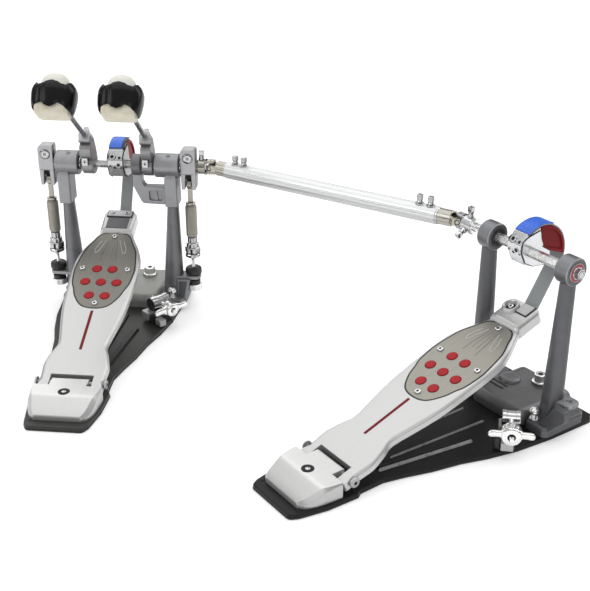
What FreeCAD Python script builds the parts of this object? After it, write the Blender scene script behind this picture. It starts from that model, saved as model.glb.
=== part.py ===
import FreeCAD, Part
import Sketcher
import math
import os
import re

from FreeCAD import Placement, Rotation, Vector

# Double bass drum pedal: a two-beater primary pedal, a slave pedal and a
# telescopic drive shaft between them.  Millimetres, +Z up.  The origin is on
# the floor, straight below the middle of the primary axle line; +Y points at
# the drum, +X to the right of the player.

doc = FreeCAD.newDocument("DoublePedal")
sheet = doc.addObject("Spreadsheet::Sheet", "Params")

PARAMS = [
    # overall layout
    ("axle_height", 200.3, "axle centre above the floor"),
    ("slave_x", 506.506, "slave pedal origin, across"),
    ("slave_y", -220.130, "slave pedal origin, along"),
    ("slave_yaw", -48.614, "slave pedal turned about the vertical, degrees"),
    ("hinge_back", 255.0, "heel hinge behind the axle"),
    ("hinge_height", 18.7, "heel hinge above the floor"),
    ("board_tilt", 19.34, "footboard rest incline, degrees"),
    # base
    ("pad_thick", 2.5, "rubber base pad"),
    ("plate_thick", 3.5, "steel base plate"),
    ("base_front", 58.0, "front edge of the base"),
    ("heel_end", 332.0, "heel end of the base behind the axle"),
    # heel plate and hinge
    ("pin_radius", 2.5, "hinge pin"),
    ("pin_half", 40.2, "half length of the hinge pin between its heads"),
    ("run_gap", 0.05, "radial running clearance"),
    ("tongue_half", 24.0, "half width of the heel plate tongue"),
    ("heel_top", 24.5, "heel plate top above the floor"),
    # footboard
    ("board_thick", 6.0, "footboard plate"),
    ("board_top", 4.25, "footboard top above the hinge axis"),
    ("plate_inset", 1.0, "depth of the traction plate pocket"),
    ("dot_radius", 6.7, "grip dot"),
    ("dot_pitch_u", 20.3, "grip dot pitch across"),
    ("dot_pitch_v", 23.8, "grip dot pitch along"),
    ("dot_row", 163.9, "middle row of dots from the hinge"),
    ("stripe_width", 3.0, "inlay stripe"),
    ("stripe_start", 48.8, "inlay stripe, heel end"),
    ("stripe_end", 114.0, "inlay stripe, toe end"),
    ("screw_head", 3.8, "button screw head radius"),
    # axles and bearings
    ("hex_flat", 10.0, "hexagon axle across flats"),
    ("journal_r", 5.0, "round axle journal"),
    ("bearing_r", 11.0, "bearing outer radius"),
    ("small_bearing_r", 9.0, "outrigger bearing outer radius"),
    ("barrel_r", 15.75, "bearing housing radius"),
    ("ring_r", 14.0, "outrigger ring radius"),
    # cam and belt
    ("cam_centre_y", 19.0, "cam circle centre in front of the axle"),
    ("cam_centre_z", -11.8, "cam circle centre above the axle"),
    ("cam_core_r", 36.8, "cam core radius"),
    ("belt_inner_r", 37.1, "belt inner radius on the cam"),
    ("belt_thick", 1.6, "belt thickness"),
    ("belt_width", 15.0, "belt width"),
    ("strip_inner_r", 39.0, "blue guide strip inner radius"),
    ("strip_thick", 1.4, "blue guide strip thickness"),
    ("cam_left", -5.0, "left side of the cam"),
    ("cam_width", 22.0, "cam width"),
    # beaters
    ("shaft_r", 3.3, "beater shaft"),
    ("beater_reach", 137.6, "hub to beater head centre along the shaft"),
    ("beater_lean", 51.3, "beater shaft lean from the vertical at rest, degrees"),
    ("grip_y", -8.64, "shaft grip point, along"),
    ("grip_z", 38.2, "shaft grip point above the axle"),
    ("head_half_x", 27.0, "beater head half width"),
    ("head_half_n", 29.0, "beater head half height, felt to felt"),
    ("head_half_s", 21.0, "beater head half length along the shaft"),
    # rockers and springs
    ("rocker_drop", 24.3, "spring pin below the axle"),
    ("rocker_pin_r", 2.0, "spring pin"),
    ("eye_gap", 1.9, "play of the spring eye round its pin"),
    ("wire_r", 1.3, "hook wire"),
    ("rod_r", 2.5, "spring tension rod"),
    ("tab_low", 41.0, "underside of the spring tab"),
    ("tab_thick", 5.0, "spring tab"),
    ("left_spring_x", -87.5, "left spring axis"),
    ("right_spring_x", 100.0, "right spring axis"),
    ("coil_low", 101.0, "coil bottom"),
    ("coil_high", 147.0, "coil top"),
    ("coil_r", 6.6, "coil outer radius"),
    # drive shaft
    ("joint_one_x", 131.0, "first universal joint on the primary axle line"),
    ("joint_two_x", -93.0, "second universal joint on the slave axle line"),
    ("tube_r", 10.75, "drive tube outer radius"),
    ("tube_bore", 7.08, "drive tube bore"),
    ("rod_shaft_r", 7.0, "sliding rod radius"),
    ("fork_r", 9.6, "fork barrel radius"),
    ("fork_in", 5.6, "fork arm inner face from the joint centre"),
    ("fork_out", 9.2, "fork arm outer face from the joint centre"),
    ("cross_half", 4.3, "half width of the joint cross"),
    ("trunnion_r", 2.4, "joint cross pin"),
    ("trunnion_len", 8.9, "joint cross pin reach"),
    # spring tab hole on the slave, free for a spring
    ("tab_hole_r", 3.25, "spring tab hole"),
    # clamp screw
    ("wing_x", 80.0, "wing screw hub, across"),
    ("wing_y", -72.0, "wing screw hub, along"),
    ("wing_z", 29.5, "wing screw hub, up"),
    ("wing_reach", 25.0, "wing tip radius"),
]
ALIASES = set()
for i, (alias, value, note) in enumerate(PARAMS, start=1):
    sheet.set("A%d" % i, alias)
    sheet.set("B%d" % i, str(value))
    sheet.setAlias("B%d" % i, alias)
    sheet.set("C%d" % i, note)
    ALIASES.add(alias)
doc.recompute()


def val(alias):
    return float(sheet.get(alias))


def expr(text):
    """Sheet aliases in a formula become references to the sheet."""
    return re.sub(r"[a-z][a-z_]*", lambda m: "Params." + m.group(0) if m.group(0) in ALIASES else m.group(0), text)


def bind(obj, prop, value):
    if isinstance(value, str):
        obj.setExpression(prop, expr(value))
    elif "." not in prop:
        setattr(obj, prop, value)


AXIS_ROT = {
    "Z": Rotation(),
    "X": Rotation(Vector(0, 1, 0), 90),
    "Y": Rotation(Vector(1, 0, 0), -90),
}
counter = [0]


def new(kind, name):
    counter[0] += 1
    return doc.addObject(kind, "%s_%03d" % (name, counter[0]))


def locate(obj, x, y, z, rot=None):
    base = Vector(*[0.0 if isinstance(c, str) else c for c in (x, y, z)])
    obj.Placement = Placement(base, rot or Rotation())
    for prop, c in (("x", x), ("y", y), ("z", z)):
        if isinstance(c, str):
            obj.setExpression("Placement.Base." + prop, expr(c))
    return obj


def box(lx, ly, lz, x, y, z, rot=None):
    o = new("Part::Box", "Block")
    bind(o, "Length", lx)
    bind(o, "Width", ly)
    bind(o, "Height", lz)
    return locate(o, x, y, z, rot)


def cyl(r, length, x, y, z, axis="Z", rot=None):
    o = new("Part::Cylinder", "Round")
    bind(o, "Radius", r)
    bind(o, "Height", length)
    return locate(o, x, y, z, rot or AXIS_ROT[axis])


def cone(r1, r2, length, x, y, z, axis="Z", rot=None):
    o = new("Part::Cone", "Taper")
    bind(o, "Radius1", r1)
    bind(o, "Radius2", r2)
    bind(o, "Height", length)
    return locate(o, x, y, z, rot or AXIS_ROT[axis])


def hexa(flat, length, x, y, z, axis="Z", rot=None):
    o = new("Part::Prism", "Hexagon")
    o.Polygon = 6
    bind(o, "Circumradius", "(%s) / 1.7320508" % flat)
    bind(o, "Height", length)
    return locate(o, x, y, z, rot or AXIS_ROT[axis])


def fuse(*items):
    o = new("Part::MultiFuse", "Joined")
    o.Shapes = list(items)
    return o


def cut(base, *tools):
    o = base
    for t in tools:
        c = new("Part::Cut", "Cut")
        c.Base = o
        c.Tool = t
        o = c
    return o


def group(*items):
    o = new("Part::Compound", "Group")
    o.Links = list(items)
    return o


def plane_of(body, role):
    for f in body.Origin.OriginFeatures:
        if f.Role == role:
            return f
    raise RuntimeError(role)


def sketch(body, role, offset=0.0):
    sk = body.newObject("Sketcher::SketchObject", "Sketch_%s" % body.Name)
    sk.AttachmentSupport = [(plane_of(body, role), "")]
    sk.MapMode = "FlatFace"
    sk.AttachmentOffset = Placement(Vector(0, 0, offset), Rotation())
    return sk


def polygon(sk, pts):
    ids = []
    n = len(pts)
    for i in range(n):
        a, b = pts[i], pts[(i + 1) % n]
        ids.append(sk.addGeometry(Part.LineSegment(Vector(a[0], a[1], 0), Vector(b[0], b[1], 0)), False))
    for i in range(n):
        sk.addConstraint(Sketcher.Constraint("Coincident", ids[i], 2, ids[(i + 1) % n], 1))


def circle(sk, x, y, radius):
    """A hole whose radius follows the sheet."""
    gid = sk.addGeometry(Part.Circle(Vector(x, y, 0), Vector(0, 0, 1), 1.0), False)
    cid = sk.addConstraint(Sketcher.Constraint("Radius", gid, 1.0))
    name = "rad%d" % cid
    sk.renameConstraint(cid, name)
    if isinstance(radius, str):
        sk.setExpression("Constraints." + name, expr(radius))
    else:
        sk.setDatum(cid, radius)


def padded(pts, role, length, offset=0.0, holes=(), pockets=()):
    """A plate: an outline padded to a bound thickness, with round through
    holes and shaped pockets sunk from its far face."""
    body = doc.addObject("PartDesign::Body", "Plate%03d" % counter[0])
    counter[0] += 1
    sk = sketch(body, role, offset)
    polygon(sk, pts)
    for hx, hy, hr in holes:
        circle(sk, hx, hy, hr)
    pad = body.newObject("PartDesign::Pad", "Pad_%s" % body.Name)
    pad.Profile = sk
    bind(pad, "Length", length)
    body.Tip = pad
    return body


def smooth(pts, steps=4, closed=True):
    """Extra points along a smooth curve through an outline's points."""
    out = []
    n = len(pts)
    for i in range(n if closed else n - 1):
        p0, p1 = pts[(i - 1) % n if closed else max(i - 1, 0)], pts[i]
        p2, p3 = pts[(i + 1) % n], pts[(i + 2) % n if closed else min(i + 2, n - 1)]
        for k in range(steps):
            u = k / float(steps)
            out.append(tuple(
                0.5 * (2 * p1[c] + (p2[c] - p0[c]) * u + (2 * p0[c] - 5 * p1[c] + 4 * p2[c] - p3[c]) * u * u
                       + (3 * p1[c] - p0[c] - 3 * p2[c] + p3[c]) * u ** 3) for c in (0, 1)))
    if not closed:
        out.append(pts[-1])
    return out


def column(x_low, x_high, z_low, z_high, a_low, b_low, a_high, b_high):
    """A tapered post: two ellipses joined by a loft."""
    body = doc.addObject("PartDesign::Body", "Post%03d" % counter[0])
    counter[0] += 1
    low = sketch(body, "XY_Plane", z_low)
    low.addGeometry(Part.Ellipse(Vector(x_low, b_low, 0), Vector(x_low + a_low, 0, 0), Vector(x_low, 0, 0))
                    if b_low > a_low else
                    Part.Ellipse(Vector(x_low + a_low, 0, 0), Vector(x_low, b_low, 0), Vector(x_low, 0, 0)), False)
    high = sketch(body, "XY_Plane", z_high)
    high.addGeometry(Part.Ellipse(Vector(x_high, b_high, 0), Vector(x_high + a_high, 0, 0), Vector(x_high, 0, 0))
                     if b_high > a_high else
                     Part.Ellipse(Vector(x_high + a_high, 0, 0), Vector(x_high, b_high, 0), Vector(x_high, 0, 0)), False)
    loft = body.newObject("PartDesign::AdditiveLoft", "Loft_%s" % body.Name)
    loft.Profile = low
    loft.Sections = [high]
    body.Tip = loft
    return body


PRIMARY = Placement()
SLAVE = Placement(Vector(val("slave_x"), val("slave_y"), 0), Rotation(Vector(0, 0, 1), val("slave_yaw")))
NODES = []


def node(label, obj, where=PRIMARY):
    """Name a sub-part and put it in its pedal's frame."""
    obj.Label = label
    obj.Placement = where.multiply(obj.Placement)
    NODES.append((label, obj))
    return obj


H = val("axle_height")
base_top = val("pad_thick") + val("plate_thick")
hinge_y = -val("hinge_back")
tilt = val("board_tilt")
BOARD = Placement(Vector(0, hinge_y, val("hinge_height")), Rotation(Vector(1, 0, 0), tilt))

# ---------------------------------------------------------------- outlines
right_edge = [(33, -332), (38, -322), (44, -290), (45, -252), (41, -246), (40, -215), (46, -190), (55, -160),
              (62, -126), (72, -95), (80, -60), (85, -10), (86, 50), (80, 58)]


def base_outline(left_scale, grow=0.0):
    right = [(x + grow, y - grow if y < -320 else y) for x, y in right_edge]
    left = []
    for x, y in reversed(right_edge):
        f = 1.0 if y < -190 else 1.0 + (left_scale - 1.0) * min(1.0, (y + 190) / 110.0)
        left.append((-x * f - grow, y - grow if y < -320 else y))
    return right + left


board_half = [(0, 38), (14, 39), (27, 39.5), (45, 35), (60, 30.5), (86, 34.8), (110, 39), (131, 41.2), (162, 42.5),
              (190, 43), (212, 41.5), (231, 35), (244, 28.5), (258, 22), (266, 22)]
plate_half = [(119, 0), (123, 16), (138, 27), (152, 32), (163, 36), (183, 38), (194, 37.5), (214, 34.5), (224, 32),
              (239, 25), (248, 21), (254, 15), (257, 0)]
dots = [(-0.5, 1), (0.5, 1), (-1, 0), (0, 0), (1, 0), (-0.5, -1), (0.5, -1)]
plate_screws = [(0, 249.6), (29.6, 187.9), (-29.6, 187.9), (0, 126.5)]


def plate_outline(shrink=0.0):
    pts = [(w, v) for v, w in plate_half] + [(-w, v) for v, w in reversed(plate_half[1:-1])]
    pts = smooth(pts, 3)
    cx, cy = 0.0, 188.0
    out = []
    for x, y in pts:
        d = math.hypot(x - cx, y - cy)
        f = (d - shrink) / d
        out.append((cx + (x - cx) * f, cy + (y - cy) * f))
    return out


# ---------------------------------------------------------------- pedals
WING_ROT = Rotation(Vector(0, 0, 1), -45)
WING = Placement(Vector(val("wing_x"), val("wing_y"), val("wing_z")), WING_ROT)


def place(obj, pl):
    obj.Placement = pl.multiply(obj.Placement)
    return obj


def clamp_barrel(bx):
    """Cross barrel on a stand that carries the wing screw's thread."""
    stand = [(bx - 8, -8), (bx + 8, -8), (bx + 8, 8), (bx - 8, 8)]
    post = padded(stand, "XY_Plane", "18", base_top - val("wing_z"))
    drum = cyl("8.5", "23", bx, -11.5, 0, "Y")
    return place(cut(fuse(post, drum), cyl("3 + run_gap", "60", -60, 0, 0, "X")), WING)


def pedal(side, where, posts, left_scale, bridge_x, bolt_x, spur_x, jaw, barrel_x):
    pre = side + "_"
    pin_y = hinge_y

    # base pad and base plate
    node(pre + "base_pad", padded(base_outline(left_scale), "XY_Plane", "pad_thick"), where)
    node(pre + "baseplate", padded(base_outline(left_scale, -0.6), "XY_Plane", "plate_thick", val("pad_thick")), where)

    # heel plate: sloping front, tongue to the hinge pin, recesses for the board's ears
    prof = [(-318, base_top), (-318, 13), (-314, 14.5), (-291, val("heel_top")), (-250.6, val("heel_top")),
            (-250.6, 12.5), (-262, base_top)]
    body = padded(prof, "YZ_Plane", "84", -42.0)
    sides = [(-46, -340), (-34, -340), (-29, -317), (-37, -306), (-42, -268.5), (-46, -268.5)]
    left_cut = padded(sides, "XY_Plane", "40", 0.0)
    right_cut = padded([(-x, y) for x, y in sides], "XY_Plane", "40", 0.0)
    ear_r = box("20", "20", "40", "tongue_half", -268.5, 0)
    ear_l = box("20", "20", "40", "-tongue_half - 20", -268.5, 0)
    pin_bore = cyl("pin_radius + run_gap", "100", -50, "-hinge_back", "hinge_height", "X")
    bolt_bore = cyl("3.05", "40", 0, -284, 0)
    bolt_seat = cyl("6.05", "10", 0, -284, "heel_top - 3")
    node(pre + "heel_plate", cut(body, left_cut, right_cut, ear_r, ear_l, pin_bore, bolt_bore, bolt_seat), where)

    # posts
    for p in posts:
        name = pre + p["name"] + "_post"
        fx0, fx1 = p["foot"]
        foot_pts = [(fx0 + 4, -26), (fx1 - 4, -26), (fx1, -20), (fx1, 34), (fx1 - 6, 42), (fx0 + 6, 42), (fx0, 34), (fx0, -20)]
        pieces = [padded(foot_pts, "XY_Plane", "12", base_top),
                  column(p["x_low"], p["x_high"], base_top + 10, p["col_top"], p["wide"], 12, 7.4, 10)]
        holes = []
        if p.get("tab"):
            tx, ty = p["tab"]
            s = 1 if tx > 0 else -1
            x_in, x_out = p["x_low"], tx + s * 12
            pieces.append(box(abs(x_out - x_in), "24", "tab_thick", min(x_in, x_out), ty - 12, "tab_low"))
            gx = p["x_low"] + s * 6
            low, top = base_top + 4, val("tab_low") + 2
            if p.get("gusset"):
                web = [(66, low), (86, top), (tx + 12, top), (tx + 15, top - 10), (82, low)]
                pieces.append(padded(web, "XZ_Plane", "9", 6))
            elif p.get("web_back"):
                web = [(gx, low), (gx, top), (tx - s * 9.6, top), (tx - s * 11, top - 14), (tx - s * 13, low)]
                pieces.append(padded(web, "XZ_Plane", "4", -12))
            else:
                web = [(gx + 1.6, low), (gx + 1.6, top), (tx - s * 2, top), (tx - s * 4, top - 12), (tx - s * 10, low)]
                pieces.append(padded(web, "XZ_Plane", "4", 11.2 - ty))
            holes.append(cyl(p["tab_bore"], "20", tx, ty, "tab_low - 5"))
        if p["socket"]:
            pieces.append(cyl("5", "24", p["x_high"], 0, p["col_top"] - 1))
        else:
            b0, b1 = p["barrel"]
            pieces.append(cyl("barrel_r", b1 - b0, b0, 0, "axle_height", "X"))
            holes.append(cyl("bearing_r + run_gap", b1 - b0 + 2, b0 - 1, 0, "axle_height", "X"))
        for sx in p.get("spurs", ()):
            holes.append(cyl("3.1", "40", sx, -18.2, 0))
        solid = fuse(*pieces)
        node(name, cut(solid, *holes) if holes else solid, where)
        if p["socket"]:
            b0, b1 = p["barrel"]
            xb0, xb1 = p["block"]
            parts = [cyl("barrel_r", b1 - b0, b0, 0, "axle_height", "X"),
                     box(xb1 - xb0, "28", "44", xb0, -15, p["col_top"] + 0.1)]
            cuts = [cyl("bearing_r + run_gap", b1 - b0 + 2, b0 - 1, 0, "axle_height", "X"),
                    cyl("5.05", "24", p["x_high"], 0, p["col_top"] - 0.5)]
            if p.get("outrigger"):
                arm = [(74, 147.5), (74, 172), (40, 172), (38, 177), (38, 194), (26, 194), (26, 172), (37, 148.5)]
                parts += [padded(arm, "XZ_Plane", "13", -6.5), cyl("ring_r", "12", 26, 0, "axle_height", "X")]
                cuts.append(cyl("small_bearing_r + run_gap", "14", 25, 0, "axle_height", "X"))
            node(pre + p["name"] + "_housing", cut(fuse(*parts), *cuts), where)

    # bearings: one at each end of every housing
    rings = []
    for p in posts:
        b0, b1 = p["barrel"]
        for x in (b0, b1 - 7):
            rings.append(cut(cyl("bearing_r", "7", x, 0, "axle_height", "X"),
                             cyl("journal_r + run_gap", "9", x - 1, 0, "axle_height", "X")))
        if p.get("outrigger"):
            for x in (26, 32.5):
                rings.append(cut(cyl("small_bearing_r", "5.5", x, 0, "axle_height", "X"),
                                 cyl("journal_r + run_gap", "7.5", x - 1, 0, "axle_height", "X")))
    node(pre + "bearings", group(*rings), where)

    # front bridge: an open-bottomed casting between the feet
    bx0, bx1 = bridge_x
    out = [(bx0 + 6, -30), (bx1 - 8, -30), (bx1, -20), (bx1, 52), (bx1 - 5, 57), (bx0 + 5, 57), (bx0, 52), (bx0, -22)]
    inn = [(bx0 + 9, -25), (bx1 - 11, -25), (bx1 - 5, -18), (bx1 - 5, 49), (bx1 - 8, 52), (bx0 + 8, 52), (bx0 + 5, 49), (bx0 + 5, -19)]
    shell = cut(padded(out, "XY_Plane", "18", base_top), padded(inn, "XY_Plane", "14", base_top - 0.5))
    extra = [cyl("9.6", "20", x, 38, base_top) for x in bolt_x]
    if jaw:
        extra.append(box("40", "28.5", "6", -36, 55.5, 8))
    bridge = fuse(shell, *extra)
    bores = [cyl("3.05", "40", x, 38, 0) for x in bolt_x]
    if jaw:
        bores += [cyl("3.05", "40", x, 48, 19) for x in (-26, -4)]
    node(pre + "bridge", cut(bridge, *bores), where)

    # bolts: heel bolt, bridge bolts, spur screws, hinge pin with its two heads
    items = [fuse(cyl("3", "12", 0, -284, base_top + 0.1),
                  cut(cyl("6", "2.6", 0, -284, "heel_top - 2.9"), hexa("5", "4", 0, -284, "heel_top - 2"))),
             fuse(cyl("pin_radius", "2 * pin_half", "-pin_half", "-hinge_back", "hinge_height", "X"),
                  cyl("6", "3.2", "pin_half - 0.1", "-hinge_back", "hinge_height", "X"),
                  cyl("6", "3.2", "-pin_half - 3.1", "-hinge_back", "hinge_height", "X"))]
    for x in bolt_x:
        items.append(fuse(cyl("3", "20", x, 38, base_top + 0.2), cyl("9.4", "1.8", x, 38, base_top + 20.1),
                          hexa("13.4", "8.4", x, 38, base_top + 21.8)))
    for x in spur_x:
        items.append(fuse(cyl("3", "22", x, -18.2, base_top + 0.3), cyl("5.8", "6", x, -18.2, base_top + 21)))
    items.append(clamp_barrel(barrel_x))
    node(pre + "bolts", group(*items), where)


pedal("primary", PRIMARY, [
    {"name": "left", "x_low": -63.5, "x_high": -64.5, "wide": 14, "foot": (-79, -49), "col_top": 147.4, "barrel": (-75, -45),
     "block": (-73, -56.5), "socket": True, "web_back": True, "tab": (val("left_spring_x"), 0.0), "tab_bore": "rod_r + 0.75"},
    {"name": "right", "x_low": 72, "x_high": 76.5, "wide": 14.2, "foot": (58, 90), "col_top": 147.4, "barrel": (56.5, 88),
     "block": (69, 85.5), "socket": True, "tab": (val("right_spring_x"), 0.0), "tab_bore": "rod_r + 0.75",
     "outrigger": True, "spurs": (73,)},
], 0.97, (-48.5, 57.5), (30, -40), (73,), True, -25.0)
pedal("slave", SLAVE, [
    {"name": "left", "x_low": -42, "x_high": -43.5, "wide": 13, "foot": (-60, -28), "col_top": 190, "barrel": (-50, -32),
     "socket": False},
    {"name": "right", "x_low": 69, "x_high": 73, "wide": 13, "foot": (54, 86), "col_top": 190, "barrel": (65, 83),
     "socket": False, "gusset": True, "tab": (89.0, 5.0), "tab_bore": "tab_hole_r", "spurs": (62,)},
], 0.78, (-27.5, 53.5), (17,), (62,), False, -33.0)


# ---------------------------------------------------------------- footboards
def footboard(side, where):
    pre = side + "_"
    at = where.multiply(BOARD)
    half = smooth([(w, v) for v, w in board_half], 4, closed=False)
    low = -(val("board_thick") - val("board_top"))
    pts = [(w, v) for w, v in half] + [(-w, v) for w, v in reversed(half)]
    deck = padded(pts, "XY_Plane", "board_thick", low)
    # rims along both edges: the underside is a shallow channel
    edge = [(w, v) for w, v in half if 10.0 < v < 268.0]
    strip = edge + [(w - 4.0, v) for w, v in reversed(edge)]
    ears = [padded(strip, "XY_Plane", "4.5", -6.0), padded([(-w, v) for w, v in strip], "XY_Plane", "4.5", -6.0)]
    for x in (25.0, -39.0):
        ears.append(box("14", "27", "10.25", x, -12, -6))
    toe = [(-22, 258), (22, 258), (22, 292), (18, 297), (-18, 297), (-22, 292)]
    block = padded(toe, "XY_Plane", "16", -7.0)
    solid = fuse(deck, block, *ears)
    notch = box("2 * tongue_half + 2", "30", "40", "-tongue_half - 1", -22.5, -20)
    pin = cyl("pin_radius + run_gap", "100", -50, 0, 0, "X")
    pocket = padded(plate_outline(-0.6), "XY_Plane", "20", val("board_top") - val("plate_inset"))
    slot = box("stripe_width + 0.1", "stripe_end - stripe_start + 0.1", "10", "-stripe_width / 2 - 0.05",
               "stripe_start - 0.05", "board_top - plate_inset")
    drills = [cyl("1.55", "4", u, v, "board_top - plate_inset - 4") for u, v in plate_screws]
    seat = box("16.2", "17.2", "10", 5.5 - 8.1, 280, 6.0)
    drills += [seat, cyl("1.55", "10", -11, 281, 0)]
    node(pre + "footboard", cut(solid, notch, pin, pocket, slot, *drills), at)

    # traction plate with holes for the grip dots and screws
    holes = [("dot", u, v) for u, v in dots]
    plate = padded(plate_outline(), "XY_Plane", "1.2", val("board_top") - val("plate_inset"),
                   holes=[(u * val("dot_pitch_u"), val("dot_row") + v * val("dot_pitch_v"), "dot_radius + run_gap")
                          for _, u, v in holes] + [(u, v, "1.6") for u, v in plate_screws])
    node(pre + "traction_plate", plate, at)

    # red inlays: seven rubber grip dots and the stripe
    red = [cyl("dot_radius", "1.9", "%g * dot_pitch_u" % u, "dot_row + %g * dot_pitch_v" % v, "board_top - plate_inset")
           for u, v in dots]
    red.append(box("stripe_width", "stripe_end - stripe_start", "1.05", "-stripe_width / 2", "stripe_start",
                   "board_top - plate_inset"))
    node(pre + "red_inlays", group(*red), at)

    # button screws, belt clamp plate and its screw
    fit = [fuse(cyl("1.5", "4.9", u, v, "board_top - plate_inset - 3.6"),
                cut(cyl("screw_head", "1.7", u, v, "board_top + 0.25"), hexa("2.5", "3", u, v, "board_top + 0.9")))
           for u, v in plate_screws]
    fit.append(fuse(cyl("1.5", "8", -11, 281, 2.0), cyl("3.4", "2.6", -11, 281, 9.05)))
    fit.append(box("16", "15", "2.2", 5.5 - 8, 280.5, 8.2))
    node(pre + "board_fittings", group(*fit), at)


footboard("primary", PRIMARY)
footboard("slave", SLAVE)


# ---------------------------------------------------------------- cams and belts
CY, CZ = val("cam_centre_y"), H + val("cam_centre_z")


def arc(r, a0, a1, n, cy=CY, cz=CZ):
    return [(cy + r * math.cos(math.radians(a0 + (a1 - a0) * i / float(n))),
             cz + r * math.sin(math.radians(a0 + (a1 - a0) * i / float(n)))) for i in range(n + 1)]


def cam(side, where):
    pre = side + "_"
    # angles round the cam circle: the belt starts at the front clamp and leaves
    # on the drum side, tangent to the strap
    a_front, a_top, a_leave = 125.0, 62.0, -30.4
    # chrome carrier: front clamp block round the hexagon axle, open behind
    prof = [(-9, H - 9), (-15, H + 3), (-14.5, H + 12), (-12.5, H + 19)] + arc(41.0, a_front + 2, a_front + 1, 1) + \
        arc(36.6, a_front + 1, 96, 8) + [(15, H + 15), (22, H + 2), (14, H - 9), (20, H - 17), (8, H - 20), (-6, H - 15)]
    side_plate = [(5, H - 18.5), (35, H - 23.5), (31, H - 6), (20, H - 2), (14.5, H + 12), (4, H)]
    block = fuse(padded(prof, "YZ_Plane", "cam_width", val("cam_left")),
                 padded(side_plate, "YZ_Plane", "0.9", val("cam_left")),
                 padded(side_plate, "YZ_Plane", "0.9", val("cam_left") + val("cam_width") - 0.9))
    carrier = cut(block,
                  cyl("hex_flat / 1.7320508 + 0.1", "60", -30, 0, "axle_height", "X"),
                  cyl("2.05", "20", 1, -20, H + 6, "Y"), cyl("2.05", "20", 11, -20, H + 6, "Y"))
    node(pre + "cam_carrier", carrier, where)
    # red core that carries the belt and the blue guide strip over its front
    core = arc(val("cam_core_r"), 95, a_leave, 28) + [(24, H - 24), (21, H - 16.8), (14.6, H - 9), (22.5, H + 2), (15.4, H + 15.3)]
    red = padded(core, "YZ_Plane", "cam_width - 2", val("cam_left") + 1)
    r0, r1 = val("strip_inner_r"), val("strip_inner_r") + val("strip_thick")
    strip = padded(arc(r1, a_front, a_top, 16) + arc(r0, a_top, a_front, 16), "YZ_Plane", "cam_width - 1", val("cam_left") + 0.5)
    node(pre + "cam_inserts", group(red, strip), where)
    # belt: wrapped on the core, then straight down to the toe and under its clamp
    b0, b1 = val("belt_inner_r"), val("belt_inner_r") + val("belt_thick")
    inner = arc(b0, a_front, a_leave, 36)
    outer = arc(b1, a_leave, a_front, 36)
    t = math.radians(tilt)

    def on_board(v, w):
        return (hinge_y + v * math.cos(t) - w * math.sin(t), val("hinge_height") + v * math.sin(t) + w * math.cos(t))
    end_in = [on_board(299.5, 8.0), on_board(297.5, 6.2), on_board(281, 6.2)]
    end_out = [on_board(281, 7.9), on_board(296.5, 7.9), on_board(298.2, 9.0)]
    belt = padded(inner + end_out[::-1] + end_in[::-1] + outer, "YZ_Plane", "belt_width", 5.5 - val("belt_width") / 2)
    node(pre + "belt", belt, where)


cam("primary", PRIMARY)
cam("slave", SLAVE)


# ---------------------------------------------------------------- beaters
lean = math.radians(val("beater_lean"))
S_DIR = Vector(0, -math.sin(lean), math.cos(lean))          # along the shaft, towards the head
N_DIR = Vector(0, math.cos(lean), math.sin(lean))           # out of the felt that meets the drum


def shaft_frame(x):
    """Local Z along the shaft, local Y towards the drum felt."""
    rot = Rotation(Vector(1, 0, 0), N_DIR, S_DIR, "ZXY")
    return Placement(Vector(x, val("grip_y"), H + val("grip_z")), rot)


def hub_key(x, radius, length):
    """Key bolt that closes the grip on the beater shaft, or its bore."""
    key = cyl(radius, length, 0, 0, 0)
    start = Vector(x, val("grip_y"), H + val("grip_z")) + S_DIR * 0.5 + N_DIR * (val("shaft_r") + 0.3)
    key.Placement = Placement(start, Rotation(Vector(0, 0, 1), N_DIR))
    return key


def beater(side, hub_x, width):
    pre = side + "_"
    fr = shaft_frame(hub_x)
    inv = fr.inverse()
    # hub: collar on the axle, arm and a split grip for the beater shaft
    x0 = hub_x - width / 2.0
    collar = cyl("14", width, x0, 0, "axle_height", "X")
    arm = padded([(-12, H + 7), (-17.5, H + 15), (-19, H + 26), (-15, H + 33), (-5, H + 41.5), (1.5, H + 36), (7.5, H + 24),
                  (12.8, H + 6)], "YZ_Plane", width, x0)
    clamp = cyl("8.2", "15", 0, 0, 0)
    clamp.Placement = fr.multiply(Placement(Vector(0, 0, -7.5), Rotation()))
    bore = cyl("hex_flat / 1.7320508 + 0.1", width + 4, x0 - 2, 0, "axle_height", "X")
    grip = cyl("shaft_r + run_gap", "90", 0, 0, 0)
    grip.Placement = fr.multiply(Placement(Vector(0, 0, -40), Rotation()))
    lock = cyl("3.25", "12", hub_x - 1.5, -22, H + 7, "Y")
    node(pre + "beater_hub", cut(fuse(collar, arm, clamp), bore, grip, hub_key(hub_x, "2.65", "16"), lock))
    # beater: steel shaft, glossy shell, two felts
    rod = cyl("shaft_r", "beater_reach + 10", 0, 0, -18)
    body = cut(box("2 * head_half_x", "34", "2 * head_half_s", "-head_half_x", -17, "beater_reach - head_half_s"),
               cyl("shaft_r + run_gap", "60", 0, 0, "beater_reach - 60 + 8.1"))
    front = box("40", "head_half_n - 17.1", "36", -20, 17.1, "beater_reach - 18")
    back = box("38", "head_half_n - 17.1", "36", -19, "-head_half_n", "beater_reach - 18")
    g = group(rod, body, front, back)
    g.Placement = fr
    node(pre + "beater", g)


beater("left", -31.5, 15.0)
beater("right", 47.6, 13.6)


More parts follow.
